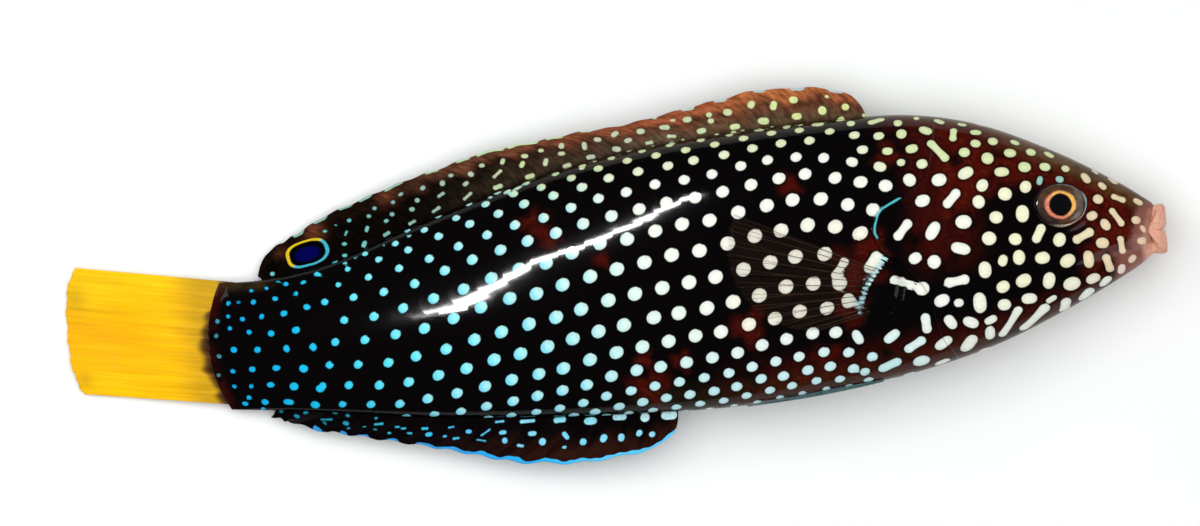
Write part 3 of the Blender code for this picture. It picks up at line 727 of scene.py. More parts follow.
@dataclass
class Markings:
    """Pale marks and ground tones of the skin, measured on the flank itself."""

    form: BodyForm
    flank: FlankMarks = field(default_factory=FlankMarks)
    rows: ScaleRows = field(default_factory=ScaleRows)
    tints: Tints = field(default_factory=Tints)
    stretch_limit: float = 1.7
    snug: float = 0.89
    stalk_snug: float = 0.98
    low_rows: float = 1.07
    fan_front: Pair = (25.0, 23.6)
    maroon_patches: tuple[tuple[float, float, float], ...] = (
        (-7.0, 6.2, 1.5), (-5.6, 4.9, 1.2), (12.0, -5.3, 1.7), (22.6, -1.2, 2.4), (24.2, 0.9, 1.8),
        (21.8, -4.6, 1.6), (5.6, -7.9, 1.0), (19.0, -8.9, 1.5), (17.2, -10.3, 1.2), (2.6, -10.2, 2.0),
        (26.6, 9.6, 1.4), (-1.0, 2.3, 0.8), (17.1, 7.6, 1.1), (2.0, -7.4, 0.9),
    )

    def __post_init__(self) -> None:
        """Lays every mark out on the flank."""
        flank, tints = self.flank, self.tints
        laid, shades = [], []
        head = (flank.snout, flank.eye_ring, flank.cheek, flank.throat, flank.gill_cover, flank.nape)
        for mark in sum((*head, flank.fin_base, flank.stalk, flank.ridge), ()):
            laid.append(self._laid(mark))
            shades.append(self._tint(mark.x, mark.y))
        # Teal brow marks, the gill cover's pale rim and the painted glints at the pectoral fin's root
        for group, tint in (
            (flank.brow, tints.teal), (flank.gill_rim(), tints.surf), (flank.fin_ribs(), tints.foam),
        ):
            laid += [self._laid(mark) for mark in group]
            shades += [tint] * len(group)
        for row, x, w in self.rows.seats(self.form, self.rows.front, 0.35):
            if x < self.rows.last_spot:
                continue
            radius = float(self.rows.disc(x)) * float(self.rows.row_disc(abs(row))) / 2
            radius *= self.low_rows if row < -4 else 1.0
            laid.append((x, w, 0.08 * radius, 0.03 * radius, radius))
            shades.append(self._tint(x, self.form.height_of(x, w)))
        self.marks = mark_rows(laid, shades)

    def _tint(self, x: float, y: float) -> Array:
        """Tint of the mark at a place in the side view."""
        level = np.array([self.form.level(x, y)])
        tint = self.tints.flank(np.array([x]), level)
        fan = ease(9.5, 12, x) * ease(*self.fan_front, x) * ease(-6.2, -4.9, y) * ease(4.4, 3.2, y)
        return tinted(tint, self.tints.tan, fan * 0.28)[0]

    def _laid(self, mark: Spot) -> tuple[float, ...]:
        """A mark of the side view laid out on the flank.

        Args:
            mark: the mark.

        Returns:
            Its place along the fish, girth place, half of its core line and its radius.
        """
        form, step = self.form, 0.15
        w, low, high = (
            float(form.girth_place(mark.x, form.angle_at(mark.x, mark.y + up))) for up in (0, -step, step)
        )
        stretch = float(np.clip((high - low) / (2 * step), 1, self.stretch_limit))
        snug = mix(self.stalk_snug, self.snug, float(ease(-30, -27, mark.x)))
        small = Spot(mark.x, mark.y, mark.length * snug, mark.width * snug, mark.turn)
        return small.laid(w, stretch)

    def ground(self, x: Array, y: Array) -> Array:
        """How maroon, how grey-brown and how fleshy the skin between the marks is.

        Args:
            x: places along the fish.
            y: heights in the side view.

        Returns:
            Three shares for each place.
        """
        top = self.form.back(x)
        level = self.form.level(x, y)
        maroon = ease(29, 32, x) * ease(0.42, 0.62, level) * 0.85
        maroon = np.maximum(maroon, ease(24, 30, x) * ease(0.9, 0.97, level) * 0.7)
        maroon = np.maximum(maroon, ease(43, 45.5, x))
        maroon = np.maximum(maroon, ease(0.2, 0.05, level) * ease(6, 16, x) * 0.55)
        cheek = np.hypot((x - 38.5) / 5.0, (y - 1.6) / 4.2)
        maroon = maroon * ease(0.8, 1.2, cheek)
        maroon = np.maximum(maroon, ease(26.5, 30, x) * ease(36, 32, x) * ease(0.3, 0.5, level) * 0.5)
        for px, py, radius in self.maroon_patches:
            turn = np.arctan2(y - py, x - px)
            uneven = 1 + 0.26 * np.sin(3 * turn + 2 * px) + 0.16 * np.sin(5 * turn + 3 * py)
            away = np.hypot(x - px, y - py) / (radius * uneven)
            maroon = np.maximum(maroon, 0.8 * ease(1.25, 0.3, away))
        maroon = np.maximum(maroon, 0.32 * ease(1.2, 0.3, x - self.form.tail_root(y)))
        grey = ease(1.1, 0.1, top - y) * ease(-16, 4, x) * mix(0.3, 0.75, ease(24, 36, x))
        grey = np.maximum(grey, ease(2.6, 0.5, top - y) * ease(34, 41, x) * 0.9)
        grey = np.maximum(grey, ease(0.13, 0.03, level) * ease(-4, 6, x) * 0.15)
        grey = np.maximum(grey, ease(1.3, 0.2, top - y) * ease(-31, -34, x) * 0.35)
        flesh = ease(47.6, 50.2, x - 0.3 * np.abs(y + 0.6)) * ease(3.8, 2.0, y) * 0.76
        flesh = np.maximum(flesh, ease(46.0, 48.6, x) * ease(-0.8, -2.2, y) * 0.66)
        flesh = np.maximum(flesh, ease(47.6, 50.6, x) * ease(0.2, -1.3, y) * 0.92)
        return np.stack([maroon, grey, flesh], -1)

    def paint(self, obj: Thing, x: Array, w: Array, y: Array, lips: Array | None = None) -> None:
        """Stores the markings on a skin or coat piece.

        Args:
            obj: the piece.
            x: place along the fish of each vertex.
            w: girth place of each vertex.
            y: height in the side view of each vertex.
            lips: how much each vertex belongs to the lips, or less than nothing inside the mouth.
        """
        ground = self.ground(x, y)
        if lips is not None:
            ground[lips > 0] = np.stack([0 * lips, 0 * lips, np.maximum(lips, ground[:, 2])], -1)[lips > 0]
            ground[lips < 0] = (0.6, 0.0, 0.0)
        paint_marks(obj, x, w, self.marks, None if lips is None else lips != 0)
        give_values(obj, "ground", ground)


def sheet_line(side: float) -> float:
    """V of a flank's middle line on the unwrap, where side is 1 on the right flank and -1 on the left."""
    return 0.25 if side > 0 else 0.75


def unwrap_place(x: Array, w: Array, side: float) -> Array:
    """U and V on the flat unwrap of the skin, for the same sides."""
    return np.stack([(x + SHEET_REAR) / SHEET_LENGTH, sheet_line(side) + w / SHEET_HEIGHT], -1)


# Materials


class Nodes:
    """Short hand for adding nodes to a tree."""

    tree: bpy.types.NodeTree

    def put(self, socket: Socket, value: object) -> None:
        """Links an output to a socket, or sets the socket's own value."""
        if isinstance(value, Socket):
            self.tree.links.new(value, socket)
        elif isinstance(value, tuple) and len(value) == 3 and len(socket.default_value) == 4:
            socket.default_value = (*value, 1)
        else:
            socket.default_value = value

    def node(self, kind: str, links: dict | None = None, **settings: object) -> bpy.types.Node:
        """Adds a node.

        Args:
            kind: its type.
            links: input name or number to an output or a value.
            **settings: its own properties.

        Returns:
            The node.
        """
        made = self.tree.nodes.new(kind)
        for name, value in settings.items():
            setattr(made, name, value)
        for name, value in (links or {}).items():
            self.put(made.inputs[name], value)
        return made


class Shading(Nodes):
    """Short hand for building one material's nodes."""

    def __init__(self, name: str) -> None:
        """Makes an empty node material of that name."""
        self.material = bpy.data.materials.new(name)
        self.material.use_nodes = True
        self.tree = self.material.node_tree
        self.shader = self.tree.nodes["Principled BSDF"]
        self.coords = self.node("ShaderNodeTexCoord").outputs["Object"]

    def value(self, name: str, output: str = "Fac") -> Socket:
        """A vertex value by name, or its vector."""
        return self.node("ShaderNodeAttribute", attribute_name=name).outputs[output]

    def parts(self, source: str | Socket) -> list[Socket]:
        """The three parts of a vector, or of a vertex vector by name."""
        vector = self.value(source, "Vector") if isinstance(source, str) else source
        return list(self.node("ShaderNodeSeparateXYZ", {0: vector}).outputs)

    def math(self, operation: str, a: object, b: object = 0.0) -> Socket:
        """One step of arithmetic on numbers or outputs, by Blender's name of it."""
        return self.node("ShaderNodeMath", {0: a, 1: b}, operation=operation).outputs[0]

    def times(self, *factors: object) -> Socket:
        """The product of numbers and outputs."""
        return reduce(lambda a, b: self.math("MULTIPLY", a, b), factors)

    def weighed(self, *terms: tuple[object, float]) -> Socket:
        """The sum of outputs, each with its own weight."""
        return reduce(lambda a, b: self.math("ADD", a, b), [self.times(*term) for term in terms])

    def far(self, a: object, b: object, power: float = 2.0) -> Socket:
        """Distance from zero of a place: on circles where power is 2, on squarish rings where more."""
        parts = [self.math("POWER", self.math("ABSOLUTE", part), power) for part in (a, b)]
        return self.math("POWER", self.math("ADD", *parts), 1 / power)

    def span(self, value: object, low: float, high: float, start: float = 0.0, end: float = 1.0) -> Socket:
        """A smooth step from start to end while a value goes from low to high."""
        sizes = (low, high, start, end) if low <= high else (high, low, end, start)
        links = dict(enumerate((value, *sizes)))
        return self.node("ShaderNodeMapRange", links, interpolation_type="SMOOTHSTEP").outputs[0]

    def blend(self, a: object, b: object, share: object) -> Socket:
        """A colour that share of the way from a to b."""
        return self.node("ShaderNodeMix", {"Factor": share, 6: a, 7: b}, data_type="RGBA").outputs[2]

    def shaded(self, colour: object, light: object) -> Socket:
        """A colour made lighter or darker by a factor."""
        return self.node("ShaderNodeVectorMath", {0: colour, "Scale": light}, operation="SCALE").outputs[0]

    def tinted(self, colour: object, factors: Colour) -> Socket:
        """A colour with each of its parts multiplied."""
        return self.node("ShaderNodeVectorMath", {0: colour, 1: factors}, operation="MULTIPLY").outputs[0]

    def noise(
        self, scale: float, detail: float = 3.0, vector: object = None, stretch: tuple = (1, 1, 1)
    ) -> Socket:
        """Noise over the piece.

        Args:
            scale: how many blotches to a metre.
            detail: octaves.
            vector: coordinates, or None for the object's own.
            stretch: factors on the coordinates.

        Returns:
            Values round 0.5.
        """
        placed = self.node("ShaderNodeMapping", {"Vector": vector or self.coords, "Scale": stretch})
        links = {"Scale": scale, "Detail": detail, "Vector": placed.outputs[0]}
        return self.node("ShaderNodeTexNoise", links).outputs["Fac"]

    def edged(self, wander: float, scale: float, slack: float) -> Socket:
        """Distance in millimetres to the edge of the nearest pale mark, its outline a little uneven.

        Args:
            wander: how far the outline strays.
            scale: how closely it strays.
            slack: by how much the distance stored for each vertex can be too large between vertices.

        Returns:
            The distance, negative inside the mark.
        """
        along, across, gap = self.parts("near")
        half, radius, _ = self.parts("core")
        beyond = self.math("MAXIMUM", self.math("SUBTRACT", self.math("ABSOLUTE", along), half), 0.0)
        bar = self.math("SUBTRACT", self.far(beyond, across), radius)
        long = self.math("DIVIDE", along, self.math("ADD", half, radius))
        oval = self.far(self.times(long, radius), across)
        round_ = self.weighed((bar, 0.45), (self.math("SUBTRACT", oval, radius), 0.55), (1.0, -0.02))
        middle = self.math("DIVIDE", along, half)
        hollow = self.math("MAXIMUM", self.math("SUBTRACT", 1.0, self.times(middle, middle)), 0.0)
        waisted = self.math("ADD", bar, self.times(hollow, radius, 0.17))
        slender = self.span(self.math("DIVIDE", half, radius), 0.8, 1.6)
        away = self.math("ADD", round_, self.times(self.math("SUBTRACT", waisted, round_), slender))
        away = self.math("MAXIMUM", away, self.math("SUBTRACT", gap, slack))
        return self.weighed((away, 1.0), (self.noise(scale, 2), 2 * wander), (1.0, -wander))

    def bump(self, height: object, depth: float) -> None:
        """Adds relief to the shader from an output from 0 to 1, as deep as that in millimetres."""
        node = self.node("ShaderNodeBump", {"Distance": depth * MM, "Height": height})
        last = self.shader.inputs["Normal"]
        if last.links:
            self.put(node.inputs["Normal"], last.links[0].from_socket)
        self.put(last, node.outputs[0])

    def finish(self, colour: object, roughness: object, **sockets: float) -> Finish:
        """Sets the shader's colour, roughness and constant sockets.

        Args:
            colour: the base colour.
            roughness: the roughness.
            **sockets: other values, by the socket's name in lower case with underscores.

        Returns:
            The material.
        """
        self.put(self.shader.inputs["Base Color"], colour)
        self.put(self.shader.inputs["Roughness"], roughness)
        names = {s.name.lower().replace(" ", "_"): s for s in self.shader.inputs}
        for name, number in sockets.items():
            names[name].default_value = number
        return self.material


@dataclass(frozen=True)
class WetSkin:
    """Near-black wet skin with pale marks, for the bare skin and the scales."""

    scaly: bool = False
    black: Colour = (0.0016, 0.0010, 0.0012)
    maroon: Colour = (0.070, 0.0040, 0.0014)
    rust: Colour = (0.15, 0.035, 0.012)
    grey: Colour = (0.110, 0.064, 0.020)
    flesh: Colour = (0.22, 0.085, 0.065)
    lip: Colour = (0.80, 0.41, 0.29)
    chill: Colour = (0.42, 0.86, 1.05)

    def material(self, name: str) -> Finish:
        """The finish, under that name."""
        s = Shading(name)
        distance = s.edged(0.055, 900, 0.055 if self.scaly else 0.03)
        inside = s.span(distance, 0.055, -0.055)
        maroon, grey, flesh = s.parts("ground")
        fine = s.noise(2600, 3)
        amount = s.times(maroon, s.span(s.noise(420, 4), 0.28, 0.52), s.span(distance, 0.0, 0.4, 0.35))
        ground = s.blend(self.black, self.maroon, amount)
        ground = s.blend(ground, self.rust, s.times(amount, s.span(fine, 0.50, 0.75), 0.35))
        grizzle = s.times(grey, s.span(s.noise(900, 5), 0.30, 0.66, 0.35, 0.95))
        ground = s.blend(ground, self.grey, grizzle)
        ground = s.blend(ground, self.flesh, s.span(s.weighed((flesh, 1.0), (fine, 0.3)), 0.2, 0.65))
        lips = s.span(flesh, 0.6, 0.95)
        ground = s.blend(ground, s.shaded(self.lip, s.span(fine, 0.2, 0.8, 0.7, 1.05)), lips)
        pale = s.value("pale", "Vector")
        rear = s.times(s.span(s.parts("near")[0], 0.3, -0.45), s.span(s.parts(s.coords)[0], 0.004, -0.008))
        pale = s.blend(pale, s.tinted(pale, self.chill), s.times(rear, 0.8))
        pale = s.blend(pale, self.lip, s.times(flesh, 0.55))
        core = s.span(distance, -0.45, -0.02, 1.0, 0.86)
        mottle = s.times(core, s.span(fine, 0.25, 0.75, 0.90, 1.0))
        colour = s.blend(ground, s.shaded(pale, mottle), inside)
        rough = s.span(s.noise(1300, 3), 0.3, 0.7, 0.28, 0.42)
        s.bump(s.noise(3800, 2), 0.008)
        s.bump(s.noise(900, 3, stretch=(1, 2.5, 1)) if self.scaly else s.noise(650, 3), 0.03)
        wet = {"coat_weight": 0.8, "coat_roughness": 0.06, "coat_ior": 1.28}
        return s.finish(colour, rough, specular_ior_level=0.0, **wet)


@dataclass(frozen=True)
class EyeFinish:
    """Glossy eye: a black pupil, a gold and pink ring, and a dark brown edge."""

    centre: Pair = EYE_CENTRE
    pupil: float = 1.06
    ring: Pair = (1.47, 1.30)
    edge: float = 2.32
    gold: Colour = (0.95, 0.50, 0.13)
    pink: Colour = (0.74, 0.23, 0.14)
    brown: Colour = (0.075, 0.036, 0.018)
    ash: Colour = (0.15, 0.115, 0.09)
    dusk: Colour = (0.035, 0.02, 0.014)
    black: Colour = (0.0015, 0.0015, 0.002)

    def material(self, name: str) -> Finish:
        """The finish, read from the distance to the pupil's middle."""
        s = Shading(name)
        x, y, _ = s.parts(s.coords)
        dx, dy = (s.weighed((part, 1 / MM), (1.0, -mid)) for part, mid in zip((x, y), self.centre))
        wander = s.weighed((s.noise(900, 2), 0.2), (1.0, -0.1))
        far = s.math("ADD", s.far(dx, dy), wander)
        ring = s.far(s.math("DIVIDE", dx, self.ring[0]), s.math("DIVIDE", dy, self.ring[1]))
        ring = s.math("ADD", ring, wander)
        grain = s.span(s.noise(4200, 4), 0.3, 0.7, 0.70, 1.10)
        glow = s.blend(self.pink, self.gold, s.span(s.weighed((dx, 0.7), (dy, 0.6)), -0.75, 0.55))
        clear = s.blend(self.brown, self.ash, s.span(dx, 0.9, 2.0))
        clear = s.blend(clear, self.dusk, s.span(s.weighed((dx, -0.7), (dy, -0.75)), 0.7, 1.7))
        clear = s.shaded(clear, s.span(s.noise(2400, 4), 0.3, 0.7, 0.6, 1.25))
        colour = s.blend(s.shaded(glow, grain), clear, s.span(ring, 0.92, 1.08))
        colour = s.blend(self.black, colour, s.span(far, self.pupil - 0.07, self.pupil + 0.09))
        colour = s.blend(colour, self.black, s.span(far, self.edge - 0.25, self.edge, 0.0, 0.9))
        gloss = {"coat_weight": 1.0, "coat_roughness": 0.02, "coat_ior": 1.4}
        return s.finish(colour, 0.3, specular_ior_level=0.1, **gloss)


@dataclass(frozen=True)
class RimFinish:
    """Thin dark fold of skin round the eye, with a painted highlight along its lower and front edge."""

    dark: Colour = (0.010, 0.006, 0.006)
    bone: Colour = (0.50, 0.40, 0.30)
    frost: Colour = (0.50, 0.68, 0.70)

    def material(self, name: str) -> Finish:
        """The finish, under that name."""
        s = Shading(name)
        highlight_crescent, chill, inward = s.parts("fold")
        # Painted highlight: a pale crescent along the fold's lower and front edge, cooler towards the front
        pale = s.blend(self.bone, self.frost, chill)
        share = s.times(highlight_crescent, s.span(inward, 0.15, 0.6), s.span(s.noise(1800, 3), 0.3, 0.6, 0.4))
        s.bump(s.noise(2500, 2), 0.02)
        colour = s.blend(self.dark, pale, share)
        return s.finish(colour, 0.25, coat_weight=0.9, coat_roughness=0.06, specular_ior_level=0.3)


@dataclass(frozen=True)
class FinFinish:
    """Wet fin membrane: a hue for each place, streaks along the rays, and pale marks."""

    streak: float = 0.35
    streaks_across: float = 60.0
    spotted: bool = False
    ringed: bool = False
    navy: Colour = (0.0005, 0.0005, 0.075)
    black: Colour = (0.001, 0.001, 0.0015)
    ring_yellow: Colour = (0.70, 0.50, 0.015)
    ring_cyan: Colour = (0.05, 0.42, 0.55)
    roughness: float = 0.3
    coat: float = 0.2
    alpha: float = 1.0
    glow: float = 0.0

    def material(self, name: str) -> Finish:
        """The finish, under that name."""
        s = Shading(name)
        lay = s.value("lay", "Vector")
        streaks = s.noise(self.streaks_across, 4, lay, (1.0, 0.035, 1.0))
        wide = s.noise(self.streaks_across * 0.3, 3, lay, (1.0, 0.12, 1.0))
        light = s.times(
            s.span(streaks, 0.28, 0.72, 1 - self.streak, 1 + self.streak),
            s.span(wide, 0.3, 0.7, 1 - self.streak * 0.6, 1.12),
        )
        colour = s.shaded(s.value("hue", "Vector"), light)
        fine = s.noise(3000, 3)
        if self.spotted:
            distance = s.edged(0.06, 1300, 0.015)
            tint = s.shaded(s.value("pale", "Vector"), s.span(fine, 0.25, 0.75, 0.82, 1.0))
            colour = s.blend(colour, tint, s.span(distance, 0.06, -0.06, 0.0, 0.96))
            trim = s.weighed((s.value("margin"), 1.0), (s.noise(1500, 2), 0.14), (1.0, -0.07))
            colour = s.blend(colour, s.value("trim", "Vector"), s.span(trim, 0.05, -0.05))
        if self.ringed:
            a, b, _ = s.parts("ring")
            away = s.weighed((s.far(a, b, 2.6), 1.0), (s.noise(900, 2), 0.1), (1.0, -0.05))
            rim = s.blend(
                self.ring_cyan, self.ring_yellow, s.span(s.weighed((a, -0.65), (b, 0.76)), -0.12, 0.12)
            )
            heart = s.far(s.times(a, 1.6), s.times(s.math("ADD", b, 0.06), 1.7))
            core = s.blend(self.navy, self.black, s.span(heart, 0.75, 1.1))
            core = s.blend(core, rim, s.span(away, 0.82, 0.88))
            colour = s.blend(core, colour, s.span(away, 0.98, 1.04))
        s.bump(streaks, 0.03)
        through = {"subsurface_weight": self.glow, "subsurface_scale": 0.6 * MM, "alpha": self.alpha}
        wet = {"coat_weight": self.coat, "coat_roughness": 0.2, "specular_ior_level": 0.0}
        return s.finish(colour, self.roughness, **wet, **through)


# The skin


@dataclass
class SkinSurface:
    """One unbroken skin from the lips to the root of the tail, with its gill covers as free flaps."""

    form: BodyForm
    markings: Markings
    around: int = 196
    flank_share: float = 0.15
    trunk_columns: int = 250
    head_columns: int = 124
    lip_bend_columns: int = 7
    lip_roll_columns: int = 17
    mouth_columns: int = 6
    under_flap: float = 0.32
    flap_thickness: float = 0.13
    coat_depth: float = 0.04
    eye_centre: Pair = EYE_CENTRE
    socket_radii: Pair = (2.25, 1.85)
    socket_depth: float = 1.2
    brow_height: float = 0.16
    nostrils: tuple[tuple[float, float, float], ...] = ((46.3, 4.0, 0.2), (47.5, 3.5, 0.16))
    pores: Path = (
        (44.9, 0.9), (43.6, -0.75), (41.9, -0.95), (40.3, 0.0), (46.2, -1.5), (45.0, -3.0),
        (43.0, -3.0), (41.3, -5.0), (45.4, 4.6), (43.9, 6.4), (48.6, 2.3),
    )
    stump_taper: float = 0.62
    lip_front: Pair = (51.72, 51.62)
    lip_height: Pair = (1.44, -0.95)
    lip_corner: float = 0.25
    lip_thick: Pair = (0.62, 0.62)
    lip_high: Pair = (1.2, 1.15)
    lip_depth: float = 1.25
    lip_half_width: float = 1.38
    lip_square: float = 0.5
    mouth_back: Pair = (47.6, -0.1)

    def angles(self) -> Array:
        """Angles of the lines that run along the fish, closer together on the flanks."""
        even = np.arange(self.around) * 2 * pi / self.around
        return even + self.flank_share * np.sin(2 * even)

    def fitted(self, front: Callable[[Array], Array], rear: Callable, share: float) -> Array:
        """A ring between two cuts that depend on the height in the side view.

        Args:
            front: place of the front cut at a height.
            rear: place of the rear cut at a height.
            share: how far from the front to the rear.

        Returns:
            The place along the fish at each angle.
        """
        angles = self.angles()
        x = np.full(angles.shape, float(mix(front(np.zeros(1)), rear(np.zeros(1)), share)[0]))
        for _ in range(14):
            y = self.form.heights(x, angles)
            x = mix(front(y), rear(y), share)
        return x

    def lip_root(self, angles: Array) -> Array:
        """Where the skin bends into the lips, at each angle round the body."""
        lean = np.cos(angles)
        return 50.2 + np.where(lean > 0, 0.85, -0.35) * lean**2

    def relief(self, x: Array, y: Array) -> Array:
        """Small forms of the head: brow, eye socket, nostrils and pores.

        Args:
            x: places along the fish.
            y: heights in the side view.

        Returns:
            How far the skin stands out at each place.
        """
        dx, dy = x - self.eye_centre[0], y - self.eye_centre[1]
        away = np.hypot(dx / self.socket_radii[0], dy / self.socket_radii[1])
        rise = -self.socket_depth * ease(1.02, 0.72, away)
        rise = rise + self.brow_height * np.exp(-(((away - 1.22) / 0.17) ** 2))
        for px, py, radius in self.nostrils:
            gone = np.hypot(x - px, y - py) / radius
            rise = rise - 0.34 * ease(1.0, 0.35, gone)
            rise = rise + 0.10 * np.exp(-(((gone - 1.45) / 0.42) ** 2))
        for px, py in self.pores:
            rise = rise - 0.07 * np.exp(-((np.hypot(x - px, y - py) / 0.13) ** 2))
        groove = np.abs(x - (33.9 + 0.055 * (y + 1.5) ** 2)) / 0.35
        rise = rise - 0.09 * np.exp(-(groove**2)) * ease(6.5, 4.0, y) * ease(-8.5, -6.5, y)
        jaw = np.abs(y + 1.75 + (50.6 - x) * 0.55) / 0.16
        return rise + 0.10 * np.exp(-(jaw**2)) * ease(46.4, 47.6, x)

    def trunk_relief(self, x: Array, y: Array) -> Array:
        """Forms behind the gill cover: the fleshy fin base and the coat's bed.

        Args:
            x: places along the fish.
            y: heights in the side view.

        Returns:
            How far the skin stands out at each place.
        """
        form = self.form
        behind = form.gill_edge(y) - x
        dome = form.pad_rise * np.clip(1 - form.pad_share(x, y) ** 2.6, 0, 1) ** 0.55
        hidden = ease(0.1, -0.3, behind) * ease(form.nape_top, form.gill_top, y)
        thin = self.stump_taper * ease(3.0, 0.0, x - form.tail_root(y))
        sunk = self.coat_depth * ease(-0.2, 1.5, behind) + 0.1 * hidden + thin
        return dome - sunk

    def lip_columns(self, root: Array, before: Array) -> list[tuple[Array, float]]:
        """Rings that bend round both lips and into the mouth.

        Args:
            root: the last ring of the face.
            before: the ring behind it.

        Returns:
            The rings in order, and how much each belongs to the lips.
        """
        angles = self.angles()
        upper = np.cos(angles) >= 0
        t = np.arcsin(np.sin(angles)) / (pi / 2)
        part = np.abs(t)
        close = np.sqrt(np.clip(1 - part**8, 0, 1))
        swing = t * pi / 2
        pick = lambda pair: np.where(upper, pair[0], pair[1])
        x = pick(self.lip_front) - self.lip_depth * part**3.2
        y = mix(pick(self.lip_height), self.lip_corner, part**3.0)
        z = self.form.middle(x) + self.lip_half_width * np.sin(swing)
        core = np.stack([x, y, z], -1)
        across = self.lip_half_width * np.cos(swing) * pi / 2 + 0.02
        out = np.stack([across, np.zeros_like(t), 3.2 * self.lip_depth * part**2.2 * np.sign(t)], -1)
        out /= np.linalg.norm(out, axis=1)[:, None]
        lift = np.zeros_like(core)
        lift[:, 1] = np.where(upper, 1.0, -1.0)
        thick = pick(self.lip_thick) * (1 - 0.45 * t * t)
        high = pick(self.lip_high) * (1 - 0.72 * part**3) * close
        first = radians(112) * close + 0.02
        last = -radians(105) * close - 0.3 * (1 - close)

        def roll(turn: Array) -> Array:
            """Points of the lips' squarish surface at a turn from straight out."""
            c, s = (np.sign(w) * np.abs(w) ** self.lip_square for w in (np.cos(turn), np.sin(turn)))
            return core + (thick * c)[:, None] * out + (high * s)[:, None] * lift

        start = roll(first)
        heading = roll(first - 0.02) - start
        heading /= np.linalg.norm(heading, axis=1)[:, None] + 1e-9
        forward = root - before
        forward /= np.linalg.norm(forward, axis=1)[:, None] + 1e-9
        reach = np.linalg.norm(start - root, axis=1)[:, None] * 0.42
        rings = []
        for step in range(1, self.lip_bend_columns + 1):
            s = step / self.lip_bend_columns
            a, b, c, d = (1 - s) ** 3, 3 * s * (1 - s) ** 2, 3 * s * s * (1 - s), s**3
            ring = a * root + b * (root + forward * reach) + c * (start - heading * reach) + d * start
            rings.append((ring, 0.55 + 0.45 * float(ease(0.5, 1.0, s))))
        for step in range(1, self.lip_roll_columns + 1):
            rings.append((roll(mix(first, last, step / self.lip_roll_columns)), 1.0))
        back = np.array([*self.mouth_back, float(self.form.middle(self.mouth_back[0]))])
        edge = rings[-1][0]
        for step in range(1, self.mouth_columns + 1):
            s = step / self.mouth_columns
            inner = mix(edge, back, s * 0.97)
            inner[:, 1] += np.where(upper, 1, -1) * 0.35 * sin(pi * s) * close
            rings.append((inner, 0.0))
        return rings

    def build(self) -> Thing:
        """Builds and paints the skin.

        Returns:
            The skin, with the flat unwrap that the coat follows.
        """
        form, angles = self.form, self.angles()
        rings, places, girths, fleshy = [], [], [], []
        folded = np.minimum(angles, 2 * pi - angles)

        def add(x: Array, rise: Array) -> None:
            """Adds one ring and notes where it is on the flank."""
            rings.append(form.surface(x, angles, rise))
            places.append(x)
            girths.append(form.girth_place(x, folded))
            fleshy.append(np.zeros(self.around))

        def flap(y: Array) -> Array:
            """Share of the gill cover's full lift at a height."""
            return ease(form.nape_top, form.gill_top, y)

        def tuck(y: Array) -> Array:
            """Where the trunk's skin ends, under the gill cover."""
            return form.gill_edge(y) + self.under_flap * flap(y)

        for step in range(self.trunk_columns):
            x = self.fitted(form.tail_root, tuck, step / (self.trunk_columns - 1))
            add(x, self.trunk_relief(x, form.heights(x, angles)))
        for step in range(self.head_columns):
            share = (step / (self.head_columns - 1)) ** 1.04
            x = self.fitted(form.gill_edge, lambda y: self.lip_root(angles), share)
            y = form.heights(x, angles)
            rise = form.gill_rise(x, y) + self.relief(x, y)
            add(x, rise - (self.flap_thickness * flap(y) if step == 0 else 0))
        for ring, lips in self.lip_columns(rings[-1], rings[-2]):
            rings.append(ring)
            places.append(ring[:, 0])
            girths.append(girths[-1])
            fleshy.append(np.full(self.around, lips if lips else -1.0))
        count = len(rings)
        flat = np.stack(rings).reshape(-1, 3)
        every = grid_faces(count, self.around, closed=True).tolist()
        half = self.around // 2
        for base in (0, (count - 1) * self.around):
            for k in range(half):
                corners = [base + k, base + k + 1, base + self.around - k - 1, base + (-k % self.around)]
                every.append(list(dict.fromkeys(corners)))
        obj = mesh_object("skin", flat, every)
        x, w = np.stack(places).ravel(), np.stack(girths).ravel()
        self._unwrap(obj, x, w, every)
        face_outwards(obj)
        self.markings.paint(obj, x, w, flat[:, 1], np.stack(fleshy).ravel())
        return obj

    def _unwrap(self, obj: Thing, x: Array, w: Array, faces: list[list[int]]) -> None:
        """Gives the skin its flat unwrap, each face on its own flank.

        Args:
            obj: the skin.
            x: place along the fish of each vertex.
            w: girth place of each vertex.
            faces: the skin's faces.
        """
        columns = np.arange(len(x)) % self.around
        uv = np.zeros((sum(len(face) for face in faces), 2), np.float32)
        corner = 0
        right, left = (unwrap_place(x, w, side.value) for side in Flank)
        for face in faces:
            side = right if max(columns[v] for v in face) <= self.around // 2 else left
            for vertex in face:
                uv[corner] = side[vertex]
                corner += 1
        give_unwrap(obj, "OFBake", uv)


# Geometry Nodes


def settled(obj: Thing, name: str) -> Thing:
    """Turns an object with its modifiers into a plain mesh object.

    Args:
        obj: the object, which is removed.
        name: the new object's name.

    Returns:
        The new object, in the scene.
    """
    bpy.context.view_layer.update()
    graph = bpy.context.evaluated_depsgraph_get()
    mesh = bpy.data.meshes.new_from_object(
        obj.evaluated_get(graph), preserve_all_data_layers=True, depsgraph=graph
    )
    mesh.name = name
    bpy.data.objects.remove(obj)
    made = bpy.data.objects.new(name, mesh)
    bpy.context.scene.collection.objects.link(made)
    return made


